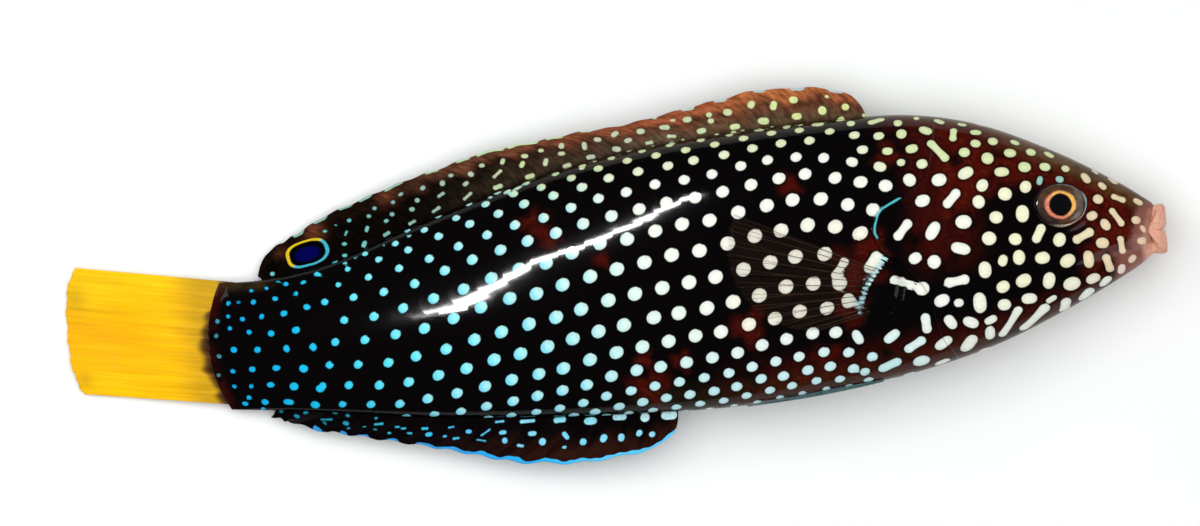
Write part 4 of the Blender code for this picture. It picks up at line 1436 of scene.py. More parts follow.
class NodeTree(Nodes):
    """Short hand for building one Geometry Nodes tree and using it."""

    def __init__(self, name: str, inputs: dict[str, str]) -> None:
        """Makes an empty tree with a geometry input and output.

        Args:
            name: the tree's name.
            inputs: name and socket type of each further input.
        """
        self.tree = bpy.data.node_groups.new(name, "GeometryNodeTree")
        self.interface = self.tree.interface
        self.interface.new_socket("Geometry", in_out="INPUT", socket_type="NodeSocketGeometry")
        self.interface.new_socket("Geometry", in_out="OUTPUT", socket_type="NodeSocketGeometry")
        for word, kind in inputs.items():
            self.interface.new_socket(word, in_out="INPUT", socket_type="NodeSocket" + kind)
        self.source = self.tree.nodes.new("NodeGroupInput").outputs
        self.end = self.tree.nodes.new("NodeGroupOutput")

    def vector(self, operation: str, a: object, b: object) -> Socket:
        """One step of vector arithmetic; a scaling takes a number as its second part."""
        links = {0: a, ("Scale" if operation == "SCALE" else 1): b}
        return self.node("ShaderNodeVectorMath", links, operation=operation).outputs[0]

    def attribute(self, name: str, kind: str = "FLOAT") -> Socket:
        """Output of a named attribute."""
        found = self.node("GeometryNodeInputNamedAttribute", {"Name": name}, data_type=kind)
        return next(s for s in found.outputs if s.enabled and s.name == "Attribute")

    def sample(self, mesh: object, value: object, uv: object, at: object) -> Socket:
        """A vector of a mesh's surface, read at a place of its UV map.

        Args:
            mesh: the mesh.
            value: the vector field to read.
            uv: the field that holds the map.
            at: the place on the map.

        Returns:
            The vector there.
        """
        node = self.node("GeometryNodeSampleUVSurface", data_type="FLOAT_VECTOR")
        names = {s.name: s for s in node.inputs if s.enabled}
        for name, source in (("Mesh", mesh), ("Value", value), ("UV Map", uv), ("Sample UV", at)):
            chosen = names.get(name) or names.get("Source " + name)
            self.tree.links.new(source, chosen)
        return next(s for s in node.outputs if s.enabled and s.name == "Value")

    def store(self, geometry: object, name: str, kind: str, domain: str, value: object) -> object:
        """Stores a named attribute and gives the geometry back."""
        node = self.node("GeometryNodeStoreNamedAttribute", {"Name": name}, data_type=kind, domain=domain)
        self.tree.links.new(geometry, node.inputs["Geometry"])
        chosen = next(s for s in node.inputs if s.enabled and s.name == "Value")
        self.tree.links.new(value, chosen)
        return node.outputs["Geometry"]

    def spread(self, points: object, piece: str, **links: object) -> Socket:
        """Sets a copy of an input object on each point, as plain geometry."""
        shape = self.node("GeometryNodeObjectInfo", {"Object": self.source[piece]}).outputs["Geometry"]
        copies = self.node("GeometryNodeInstanceOnPoints", {"Points": points, "Instance": shape, **links})
        return self.node("GeometryNodeRealizeInstances", {"Geometry": copies.outputs[0]}).outputs[0]

    def finish(self, geometry: object) -> None:
        """Realizes the instances, sets the material and closes the tree."""
        real = self.node("GeometryNodeRealizeInstances", {"Geometry": geometry}).outputs[0]
        links = {"Geometry": real, "Material": self.source["Material"]}
        dressed = self.node("GeometryNodeSetMaterial", links)
        self.tree.links.new(dressed.outputs[0], self.end.inputs[0])

    def run(self, obj: Thing, name: str, inputs: dict[str, object]) -> Thing:
        """Runs the tree on an object and gives a plain mesh object.

        Args:
            obj: the object that the tree starts from, which is removed.
            name: the finished piece's name.
            inputs: input name to value.

        Returns:
            The finished piece.
        """
        modifier = obj.modifiers.new(self.tree.name, "NODES")
        modifier.node_group = self.tree
        for item in self.interface.items_tree:
            if item.item_type == "SOCKET" and item.in_out == "INPUT" and item.name in inputs:
                modifier[item.identifier] = inputs[item.name]
        made = settled(obj, name)
        made.data.shade_smooth()
        return made


@dataclass
class ScaleCoat:
    """Overlapping scales of one flank, each a thin plate bent onto the skin."""

    form: BodyForm
    markings: Markings
    side: Flank
    front: float = 22.7
    rear: float = -36.9
    blade_rear: float = 1.45
    blade_front: float = 2.2
    blade_half: float = 1.72
    blade_cells: int = 8
    rear_height: float = 0.024
    front_height: float = -0.034
    thickness: float = 0.012
    bulge: float = 0.006
    rim_turn: float = 1.2
    past_midline: float = 0.34
    guide_columns: int = 170
    guide_rows: int = 110

    def guide(self) -> Thing:
        """The plain surface that the scales follow, a little past both midlines."""
        xs = np.linspace(-40.5, 36.0, self.guide_columns)
        angles = np.linspace(-self.past_midline, pi + self.past_midline, self.guide_rows)
        x, angle = np.meshgrid(xs, angles, indexing="ij")
        points = self.form.surface(x, self.side.value * angle, 0.0)
        faces = grid_faces(len(xs), len(angles))
        if self.side is Flank.LEFT:
            faces = faces[:, ::-1]
        obj = mesh_object("scale_guide", points.reshape(-1, 3), faces)
        uv = unwrap_place(x.ravel(), self.form.girth_place(x, angle).ravel(), self.side.value)
        give_unwrap(obj, "flank", uv[faces.ravel()])
        return obj

    def blade(self) -> Thing:
        """One scale, flat, on the scale of the unwrap, with its height in metres."""
        cells = self.blade_cells
        line = np.linspace(-1, 1, cells + 1)
        a, b = (grid.ravel() for grid in np.meshgrid(line, line, indexing="ij"))
        along = a * np.sqrt(1 - b * b / 2)
        across = b * np.sqrt(1 - a * a / 2)
        x = np.where(along > 0, along * self.blade_front, along * self.blade_rear)
        y = across * self.blade_half * (1 - 0.12 * np.clip(along, 0, 1))
        share = (x + self.blade_rear) / (self.blade_rear + self.blade_front)
        z = mix(self.rear_height, self.front_height, share**0.8) + self.bulge * (1 - across**2)
        rim = (np.abs(a) > 0.999) | (np.abs(b) > 0.999)
        u, v = x / SHEET_LENGTH, y / SHEET_HEIGHT
        top = np.stack([u, v, z * MM], -1)
        bottom = np.stack([u, v, np.where(rim, z, z - self.thickness) * MM], -1)
        count = len(x)
        number = np.where(rim, np.arange(count), np.arange(count) + count)
        faces = grid_faces(cells + 1, cells + 1)
        points = np.concatenate([top, bottom]) / MM
        obj = mesh_object("scale_blade", points, np.concatenate([faces[:, ::-1], number[faces]]))
        return face_outwards(obj)

    def seats(self) -> Thing:
        """One vertex for each scale on the unwrap, with the scale's size."""
        form, rows = self.form, self.markings.rows
        found = [s for s in rows.seats(form, self.front, 0.5) if s[1] > self.rear]
        found = [s for s in found if form.pad_share(s[1], form.height_of(s[1], s[2])) > 0.9]
        x, w = (np.array([seat[k] for seat in found]) for k in (1, 2))
        wide = np.array([rows.row_width(row, at) for row, at, _ in found]) / 2.75
        spine = unwrap_place(x, w, self.side.value)
        points = np.stack([spine[:, 0], spine[:, 1], np.zeros(len(x))], -1)
        obj = mesh_object("scale_seats", points / MM, [])
        give_values(obj, "long", mix(0.62, 1.0, ease(-36, -27, x)))
        give_values(obj, "wide", np.clip(wide * 1.08, 0.5, 1.05))
        rise = mix(0.15, 1.0, ease(self.front + 0.5, 20.0, x)) * mix(0.5, 1.0, ease(-37, -30, x))
        give_values(obj, "rise", rise)
        return obj

    @staticmethod
    def tree() -> NodeTree:
        """The tree that sets a scale on each seat and bends it onto the guide."""
        t = NodeTree("ScaleShingles", {"Guide": "Object", "Blade": "Object", "Material": "Material"})
        guide = t.node("GeometryNodeObjectInfo", {"Object": t.source["Guide"]}).outputs["Geometry"]
        place = t.node("GeometryNodeInputPosition").outputs[0]
        seated = t.store(t.source["Geometry"], "root", "FLOAT_VECTOR", "POINT", place)
        sides = {k: t.attribute(word) for k, word in enumerate(("long", "wide", "rise"))}
        size = t.node("ShaderNodeCombineXYZ", sides).outputs[0]
        flat = t.store(t.spread(seated, "Blade", Scale=size), "place", "FLOAT_VECTOR", "POINT", place)
        at, root = t.attribute("place", "FLOAT_VECTOR"), t.attribute("root", "FLOAT_VECTOR")
        small = t.vector("MULTIPLY", t.vector("SUBTRACT", at, root), (0.045, 0.045, 0.0))
        flat = t.store(flat, "OFBake", "FLOAT2", "CORNER", t.vector("ADD", root, small))
        unwrap = t.attribute("flank", "FLOAT_VECTOR")
        seat = t.sample(guide, place, unwrap, at)
        out = t.sample(guide, t.node("GeometryNodeInputNormal").outputs[0], unwrap, at)
        height = t.node("ShaderNodeSeparateXYZ", {0: at}).outputs[2]
        bent = t.vector("ADD", seat, t.vector("SCALE", out, height))
        t.finish(t.node("GeometryNodeSetPosition", {"Geometry": flat, "Position": bent}).outputs[0])
        return t

    def build(self, tree: NodeTree, finish: Finish) -> Thing:
        """Builds and paints the scales of this flank.

        Args:
            tree: the tree that sets the scales.
            finish: their material.

        Returns:
            The piece.
        """
        guide, blade = self.guide(), self.blade()
        inputs = {"Guide": guide, "Blade": blade, "Material": finish}
        obj = tree.run(self.seats(), f"scales_{self.side.name.lower()}", inputs)
        for helper in (guide, blade):
            bpy.data.objects.remove(helper)
        obj.data.set_sharp_from_angle(angle=self.rim_turn)
        place = read_vectors(obj, "place")
        x = place[:, 0] * SHEET_LENGTH - SHEET_REAR
        w = (place[:, 1] - sheet_line(self.side.value)) * SHEET_HEIGHT
        self.markings.paint(obj, x, w, read_vectors(obj, "position")[:, 1] / MM)
        for spare in ("root", "place", "long", "wide", "rise"):
            if spare in obj.data.attributes:
                obj.data.attributes.remove(obj.data.attributes[spare])
        return obj


# Fins


@dataclass
class Fin:
    """A fin as a thin membrane over a middle surface, with its rays as fine tubes."""

    form: BodyForm
    side: Flank = Flank.RIGHT
    node: str = "fin"
    slot: str = ""
    rays: int = 14
    columns: int = 160
    rows: int = 24
    root_thickness: float = 0.5
    tip_thickness: float = 0.16
    ray_radius: float = 0.15
    ray_kind: RayKind = RayKind.SOFT
    spines: int = 0
    sag: float = 0.03
    ribbing: float = 0.3
    film: FinFinish = FinFinish()
    ray_film: FinFinish = FinFinish()

    def place(self, u: Array, v: Array) -> Array:
        """Points of the middle surface."""
        raise NotImplementedError

    def hues(self, points: Array, u: Array, v: Array) -> Array:
        """Colour of the membrane at each place."""
        raise NotImplementedError

    def _grid(self) -> tuple[Array, Array, Array]:
        """Shares and points of the dense middle surface."""
        shares = (np.linspace(0, 1, count) for count in (self.columns, self.rows))
        u, v = np.meshgrid(*shares, indexing="ij")
        return u, v, self.place(u, v)

    def membrane(self) -> Thing:
        """The closed membrane, thicker at its root and along each ray, with its hues and marks."""
        u, v, points = self._grid()
        out = np.cross(np.gradient(points, axis=0), np.gradient(points, axis=1))
        out /= np.linalg.norm(out, axis=-1)[..., None] + 1e-12
        out = np.where(out[..., 2:] < 0, -out, out)
        phase = u * (self.rays - 1)
        on_ray = np.exp(-(((phase - np.round(phase)) / 0.16) ** 2))
        half = mix(self.root_thickness, self.tip_thickness, np.sqrt(v)) / 2 * (1 + self.ribbing * on_ray)
        dip = self.sag * np.cos(2 * pi * phase) * (1 - v * 0.4)
        middle = points + out * dip[..., None]
        flat = np.stack([middle + out * half[..., None], middle - out * half[..., None]]).reshape(-1, 3)
        flat[:, 2] = np.maximum(flat[:, 2], 0.01)
        count = self.columns * self.rows
        faces = grid_faces(self.columns, self.rows)
        number = np.arange(count).reshape(self.columns, self.rows)
        rim = np.concatenate([number[:-1, 0], number[-1, :-1], number[:0:-1, -1], number[0, :0:-1]])
        after = np.roll(rim, -1)
        walls = np.stack([rim, after, after + count, rim + count], -1)
        every = np.concatenate([faces, faces[:, ::-1] + count, walls])
        obj = face_outwards(mesh_object(f"{self.node}_membrane", flat, every))
        self.dress(obj, flat, np.tile(u.ravel(), 2), np.tile(v.ravel(), 2))
        return obj

    def dress(self, obj: Thing, points: Array, u: Array, v: Array) -> None:
        """Stores the hues and the lay of the rays."""
        give_values(obj, "hue", self.hues(points, u, v))
        give_values(obj, "lay", np.stack([u, v, np.zeros_like(u)], -1))

    def guide(self) -> Thing:
        """The middle surface with its UV map, for the rays to follow."""
        u, v, points = self._grid()
        faces = grid_faces(self.columns, self.rows)
        obj = mesh_object("ray_guide", points.reshape(-1, 3), faces)
        uv = np.stack([u.ravel(), v.ravel()], -1) * 0.9 + 0.05
        give_unwrap(obj, "fan", uv[faces.ravel()])
        return obj

    def ray_plan(self, kind: RayKind) -> Thing:
        """One ray drawn flat, as chains of edges: a trunk, and forks on a soft ray."""
        gap = 1 / (self.rays - 1)
        if kind is RayKind.SPINE:
            lines = [(0.0, 0.0, 0.0, 0.97, 1.0)]
        elif kind is RayKind.FINE:
            lines = [(0.0, 0.0, 0.0, 0.5, 0.9)]
            lines += [(0.0, side * 0.2 * gap, 0.45, 0.99, 0.6) for side in (-1, 1)]
        else:
            lines = [(0.0, 0.0, 0.0, 0.42, 1.0)]
            for side in (-1, 1):
                lines.append((0.0, side * 0.17 * gap, 0.36, 0.72, 0.72))
                for twig in (-1, 1):
                    end = side * 0.17 * gap + twig * 0.09 * gap
                    lines.append((side * 0.155 * gap, end, 0.66, 1.0, 0.5))
        points, edges, girths = [], [], []
        steps = 36
        for u0, u1, v0, v1, girth in lines:
            for step in range(steps + 1):
                s = step / steps
                v = min(max(mix(v0, v1, s), 0.004), 0.992)
                points.append((mix(u0, u1, float(ease(0, 1, s))) * 0.9 / MM, (v * 0.9 + 0.05) / MM, 0.0))
                girths.append(girth * (1 - 0.55 * v))
                if step:
                    edges.append((len(points) - 2, len(points) - 1))
        obj = mesh_object("ray_plan", np.array(points), [], edges)
        give_values(obj, "girth", np.array(girths))
        return obj

    @staticmethod
    def tree() -> NodeTree:
        """The tree that sets a ray on each seat and bends it onto the middle surface."""
        kinds = {"Guide": "Object", "Ray": "Object", "Radius": "Float", "Sides": "Int"}
        t = NodeTree("FinRays", {**kinds, "Material": "Material"})
        guide = t.node("GeometryNodeObjectInfo", {"Object": t.source["Guide"]}).outputs["Geometry"]
        place = t.node("GeometryNodeInputPosition").outputs[0]
        flat = t.store(t.spread(t.source["Geometry"], "Ray"), "lay", "FLOAT_VECTOR", "POINT", place)
        at = t.attribute("lay", "FLOAT_VECTOR")
        bent = t.sample(guide, place, t.attribute("fan", "FLOAT_VECTOR"), at)
        moved = t.node("GeometryNodeSetPosition", {"Geometry": flat, "Position": bent}).outputs[0]
        curve = t.node("GeometryNodeMeshToCurve", {"Mesh": moved}).outputs[0]
        factors = {0: t.attribute("girth"), 1: t.source["Radius"]}
        girth = t.node("ShaderNodeMath", factors, operation="MULTIPLY").outputs[0]
        circle = {"Resolution": t.source["Sides"], "Radius": 1.0}
        profile = t.node("GeometryNodeCurvePrimitiveCircle", circle).outputs[0]
        sized = t.node("GeometryNodeSetCurveRadius", {"Curve": curve, "Radius": girth}).outputs[0]
        ends = {"Curve": sized, "Profile Curve": profile, "Fill Caps": True}
        tube = t.node("GeometryNodeCurveToMesh", ends)
        if tube.inputs.get("Scale") is not None:
            t.tree.links.new(girth, tube.inputs["Scale"])
        t.finish(tube.outputs[0])
        return t

    def build_rays(self, tree: NodeTree, finish: Finish) -> Thing:
        """The fin's rays as one piece.

        Args:
            tree: the tree that sets the rays.
            finish: their material.

        Returns:
            The piece.
        """
        guide = self.guide()
        made = []
        groups = ((RayKind.SPINE, 0, self.spines), (self.ray_kind, self.spines, self.rays))
        for kind, first, last in groups:
            if last <= first:
                continue
            inner = 0.3 / (self.rays - 1)
            u = np.clip(np.arange(first, last) / (self.rays - 1), inner, 1 - inner)
            points = np.stack([u * 0.9 + 0.05, np.zeros_like(u), np.zeros_like(u)], -1)
            plan = self.ray_plan(kind)
            inputs = {"Guide": guide, "Ray": plan, "Radius": self.ray_radius * MM, "Sides": 6}
            seats = mesh_object("ray_seats", points / MM, [])
            word = f"{self.node}_rays_{kind.value}"
            made.append(tree.run(seats, word, {**inputs, "Material": finish}))
            bpy.data.objects.remove(plan)
        bpy.data.objects.remove(guide)
        obj = joined(made, f"{self.node}_rays")
        lay = np.clip((read_vectors(obj, "lay") - (0.05, 0.05, 0)) / 0.9, 0, 1)
        obj.data.attributes.remove(obj.data.attributes["lay"])
        self.dress(obj, read_vectors(obj, "position") / MM, lay[:, 0], lay[:, 1])
        return obj


def joined(pieces: Sequence[Thing], name: str) -> Thing:
    """Joins meshes into the first of them.

    Args:
        pieces: the objects.
        name: the result's name.

    Returns:
        The joined object.
    """
    first = pieces[0]
    if len(pieces) > 1:
        group = list(pieces)
        with bpy.context.temp_override(
            active_object=first, selected_editable_objects=group, selected_objects=group
        ):
            bpy.ops.object.join()
    first.name = name
    first.data.name = name
    return first


@dataclass
class RidgeFin(Fin):
    """Long fin on the back or the belly, its rays swept to the rear, with pale marks and a margin."""

    roots: Pair = (25.1, -33.0)
    edge: Curve = Curve((0.0, 0.0), (1.0, 1.0))
    sweep: Pair = (1.3, 4.1)
    outward: int = 1
    droop: float = 0.36
    sweep_rise: float = 0.3
    bow: float = 0.10
    inset: float = 0.55
    scallop: float = 0.12
    sag: float = 0.012
    ribbing: float = 0.15
    marks: Spots = ()
    snug: float = 0.84
    rear_snug: float = 1.0
    margin_bits: Path = ()

    def line(self, x: Array) -> Array:
        """The body's outline that the fin grows from."""
        return self.form.back(x) if self.outward > 0 else self.form.belly(x)

    def place(self, u: Array, v: Array) -> Array:
        """Points of the middle surface, its root sunk into the body.

        Args:
            u: share across the rays.
            v: share from the root to the outer edge.

        Returns:
            Points in millimetres.
        """
        x = mix(self.roots[0], self.roots[1], u)
        start = np.stack([x, self.line(x) - self.outward * self.inset, self.form.middle(x)], -1)
        tip_x = x - mix(*self.sweep, np.minimum(1.0, u / self.sweep_rise)) * (1 - 0.85 * ease(0.84, 1, u))
        between = np.sin(u * (self.rays - 1) * pi) ** 2
        end_y = self.edge(tip_x) - self.outward * self.scallop * between
        end_z = start[..., 2] - self.droop * np.abs(end_y - start[..., 1])
        along = np.stack([tip_x, end_y, end_z], -1) - start
        ahead, out = np.abs(along[..., 1]), self.outward * np.abs(along[..., 0])
        square = np.stack([ahead, out, 0 * out], -1)
        return start + along * v[..., None] + square * (self.bow * 4 * v * (1 - v))[..., None]

    def tint(self, x: Array, y: Array) -> Array:
        """Colour of each mark."""
        raise NotImplementedError

    def trim(self, x: Array) -> tuple[Array, Array]:
        """Colour and width of the margin at each place along the fish."""
        raise NotImplementedError

    def dress(self, obj: Thing, points: Array, u: Array, v: Array) -> None:
        """Stores hues, lay, marks and margin.

        Args:
            obj: the piece.
            points: its vertices.
            u: share across the rays of each vertex.
            v: share from the root of each vertex.
        """
        super().dress(obj, points, u, v)
        x, y = points[:, 0], points[:, 1]
        sizes = [self.snug * mix(self.rear_snug, 1.0, float(ease(-14, -8, m.x))) for m in self.marks]
        shrunk = (Spot(m.x, m.y, m.length * k, m.width * k, m.turn) for m, k in zip(self.marks, sizes))
        tints = self.tint(*(np.array([getattr(m, axis) for m in self.marks]) for axis in "xy"))
        paint_marks(obj, x, y, mark_rows((m.laid(m.y) for m in shrunk), tints))
        colour, width = self.trim(x)
        there = np.zeros(len(x))
        for low, high in self.margin_bits:
            there = np.maximum(there, ease(low - 0.12, low + 0.12, x) * ease(high + 0.12, high - 0.12, x))
        reach = np.maximum(np.abs(self.edge(x) - self.line(x)), 1.0)
        give_values(obj, "margin", (1 - v) * reach - width * there + (1 - there) * 0.3)
        give_values(obj, "trim", colour)


@dataclass
class DorsalFin(RidgeFin):
    """Rust-brown fin on the back, with green spots, a broken pale margin and an eye-like spot behind."""

    node: str = "dorsal_fin"
    slot: str = "rust_fin"
    rays: int = 21
    columns: int = 320
    rows: int = 34
    spines: int = 9
    ray_radius: float = 0.13
    film: FinFinish = FinFinish(spotted=True, ringed=True, streak=0.45, streaks_across=130.0, coat=0.03)
    ray_film: FinFinish = FinFinish(spotted=True, ringed=True, streak=0.45, streaks_across=130.0, coat=0.03)
    edge: Curve = Curve(
        (24.7, 14.84), (23.1, 15.94), (21.6, 16.4), (19.6, 16.75), (17.4, 16.8), (14.6, 16.9),
        (12.2, 16.46), (10.2, 16.16), (7.2, 15.65), (3.4, 15.0), (1.0, 14.7), (-2.0, 14.55),
        (-5.9, 14.1), (-9.0, 13.8), (-12.0, 13.35), (-15.3, 12.44), (-18.0, 11.78), (-20.9, 10.94),
        (-24.0, 9.9), (-27.0, 8.85), (-28.85, 7.9), (-31.04, 6.82), (-32.0, 6.35), (-32.76, 5.73),
        (-33.3, 4.8), (-33.65, 3.7),
    )
    marks: Spots = spots(
        (14.37, 15.57, 0.9, 0.75, 60), (16.46, 15.28, 1.05, 0.7, 75), (18.38, 15.65, 0.95, 0.72, -10),
        (21.54, 15.65, 0.5, 0.35, -20), (23.19, 14.5, 0.78, 0.68, -20), (20.99, 14.37, 0.95, 0.88, 90),
        (18.53, 14.06, 1.1, 0.7), (15.37, 13.91, 1.2, 0.7, -5), (12.65, 13.63, 1.12, 0.6, 5),
        (9.47, 13.54, 1.03, 0.56, 5), (12.09, 15.06, 0.98, 0.72, -5), (10.32, 14.99, 0.6, 0.58),
        (10.43, 14.4, 0.66, 0.56), (8.24, 14.74, 0.95, 0.58, 5), (6.03, 14.2, 1.1, 0.52, -5),
        (6.87, 14.8, 0.6, 0.26), (3.75, 14.03, 0.88, 0.56), (1.28, 14.0, 0.85, 0.5, 30),
        (2.5, 13.3, 0.82, 0.46, 15), (4.44, 12.9, 0.9, 0.37, 5), (6.62, 13.3, 1.0, 0.38, -5),
        (1.32, 12.59, 0.95, 0.55, -10), (7.68, 12.88, 0.45, 0.2, 15), (4.85, 12.5, 0.35, 0.18),
        (2.5, 12.2, 0.6, 0.3), (3.5, 12.2, 0.55, 0.3), (25.1, 13.66, 0.95, 0.32, 15),
        (22.6, 13.4, 0.8, 0.38, 25), (-0.39, 13.65, 0.83, 0.44, -12), (-1.67, 13.17, 0.9, 0.5, 95),
        (-1.17, 12.08, 1.0, 0.47, 5), (-3.83, 13.39, 0.65, 0.58, 80), (-3.89, 12.66, 0.8, 0.42),
        (-3.5, 11.47, 0.98, 0.46, 12), (-5.8, 13.13, 0.6, 0.35), (-5.45, 12.0, 0.9, 0.45, 70),
        (-7.39, 12.76, 0.78, 0.42, -5), (-7.69, 12.0, 0.8, 0.5, 60), (-7.06, 10.8, 1.1, 0.5, 12),
        (-9.5, 12.44, 0.78, 0.45, 65), (-10.1, 11.33, 1.4, 0.38, 38), (-10.17, 10.09, 1.12, 0.5, 12),
        (-11.5, 12.24, 0.68, 0.46, 5), (-12.6, 11.53, 0.75, 0.62, -40), (-13.17, 10.69, 0.8, 0.45, 35),
        (-13.1, 9.5, 1.5, 0.42, 38), (-14.5, 11.59, 0.6, 0.42, 10), (-15.36, 10.94, 0.7, 0.58, 80),
        (-15.6, 9.86, 1.08, 0.42, 28), (-17.26, 10.68, 0.68, 0.5, 40), (-17.9, 9.56, 0.62, 0.58),
        (-16.2, 8.5, 1.3, 0.42, 30), (-18.46, 8.77, 0.62, 0.5), (-18.56, 7.52, 1.1, 0.42, 25),
        (-19.4, 10.28, 0.68, 0.38, 30), (-20.2, 9.61, 0.54, 0.5), (-20.4, 8.47, 0.55, 0.48),
        (-21.0, 7.9, 0.58, 0.42, 20), (-21.07, 6.67, 1.0, 0.42, 28), (-22.0, 9.2, 0.54, 0.5),
        (-22.6, 8.5, 0.57, 0.44), (-22.9, 7.3, 0.85, 0.42, 65), (-23.26, 5.9, 0.9, 0.5, 60),
        (-24.5, 8.28, 0.5, 0.46), (-24.9, 7.1, 0.75, 0.3, 60), (-25.15, 6.1, 0.6, 0.42, 5),
        (-25.2, 5.0, 0.66, 0.42, 5), (-25.8, 7.95, 0.36, 0.2), (-26.9, 7.47, 0.54, 0.3, -5),
        (-22.55, 5.2, 0.55, 0.35, 20), (-26.9, 4.14, 0.85, 0.24, 15), (-28.85, 3.57, 0.45, 0.16, 5),
        (-32.23, 3.93, 0.54, 0.48),
    )
    margin_bits: Path = (
        (21.6, 23.1), (18.1, 19.6), (14.6, 15.9), (10.8, 12.2), (7.7, 9.1), (4.9, 5.5), (-2.0, -0.8),
        (-5.3, -3.5), (-9.0, -5.9), (-12.0, -9.2), (-14.0, -12.5), (-17.0, -15.5), (-21.0, -19.0),
        (-23.5, -22.0), (-25.5, -24.0), (-28.0, -26.5), (-30.0, -28.8),
    )
    ring: tuple[float, float, float, float, float] = (-28.75, 5.57, 2.05, 1.22, 12.0)
    rust: Colour = (0.30, 0.080, 0.034)
    ember: Colour = (0.40, 0.13, 0.040)
    umber: Colour = (0.120, 0.044, 0.022)
    grey: Colour = (0.088, 0.058, 0.031)
    black: Colour = (0.0025, 0.0016, 0.001)
    rust_patches: tuple[tuple[float, float, float, float], ...] = (
        (-20.9, 10.4, 0.9, 0.4), (-27.9, 7.6, 0.9, 0.4), (-31.3, 5.9, 0.6, 0.12),
    )
    rear_snug: float = 0.87
    tints: tuple[tuple[float, Colour], ...] = (
        (20.0, (0.74, 0.84, 0.36)), (8.0, (0.58, 0.72, 0.42)), (0.0, (0.52, 0.58, 0.44)),
        (-8.0, (0.60, 0.70, 0.37)), (-14.0, (0.42, 0.54, 0.42)), (-20.0, (0.25, 0.50, 0.45)),
        (-26.0, (0.14, 0.60, 0.56)),
    )
    trims: tuple[tuple[float, Colour], ...] = (
        (14.5, (0.44, 0.56, 0.58)), (-7.5, (0.52, 0.74, 0.36)), (-24.5, (0.24, 0.44, 0.38)),
    )

    def hues(self, points: Array, u: Array, v: Array) -> Array:
        """Colour of the membrane, rust in front and black behind."""
        x = points[:, 0]
        wave = 0.07 * np.sin(u * 74) + 0.05 * np.sin(u * 163 + 2)
        front = ease(-12, 9, x)
        upper = tinted(np.tile(self.rust, (len(x), 1)), self.ember, np.exp(-(((x - 17) / 6) ** 2)) * v)
        hue = mix(np.array(self.umber), upper, ease(0.5, 0.82, v + wave)[:, None])
        hue = tinted(hue, self.grey, ease(0.5, 0.25, v + wave) * 0.8)
        hue = tinted(hue, self.black, ease(8, -4, x) * ease(0.62, 0.3, v + wave) * 0.45)
        low = ease(0.75, 0.25, v + wave) * ease(-20, -2, x) * 0.4
        dark = tinted(np.tile(self.black, (len(x), 1)), self.grey, low)
        dark = tinted(dark, self.umber, ease(0.55, 0.88, v + wave) * mix(0.04, 0.95, ease(-22, -13, x)))
        for cx, cy, radius, share in self.rust_patches:
            patch = np.exp(-((np.hypot(x - cx, points[:, 1] - cy) / radius) ** 2))
            dark = tinted(dark, self.rust, patch * share)
        hue = mix(dark, hue, front[:, None])
        return tinted(hue, self.black, ease(0.2, 0.08, v) * 0.6)

    def tint(self, x: Array, y: Array) -> Array:
        """Colour of each mark, pale green in front and sea green behind."""
        return ramp(x, *self.tints)

    def trim(self, x: Array) -> tuple[Array, Array]:
        """Colour and width of the broken margin."""
        return ramp(x, *self.trims), np.full(len(x), 0.24)

    def dress(self, obj: Thing, points: Array, u: Array, v: Array) -> None:
        """Stores hues, marks, margin and the frame of the eye-like spot.

        Args:
            obj: the piece.
            points: its vertices.
            u: share across the rays of each vertex.
            v: share from the root of each vertex.
        """
        super().dress(obj, points, u, v)
        cx, cy, rx, ry, turn = self.ring
        c, s = cos(radians(turn)), sin(radians(turn))
        dx, dy = points[:, 0] - cx, points[:, 1] - cy
        give_values(obj, "ring", np.stack([(dx * c + dy * s) / rx, (dy * c - dx * s) / ry, 0 * dx], -1))


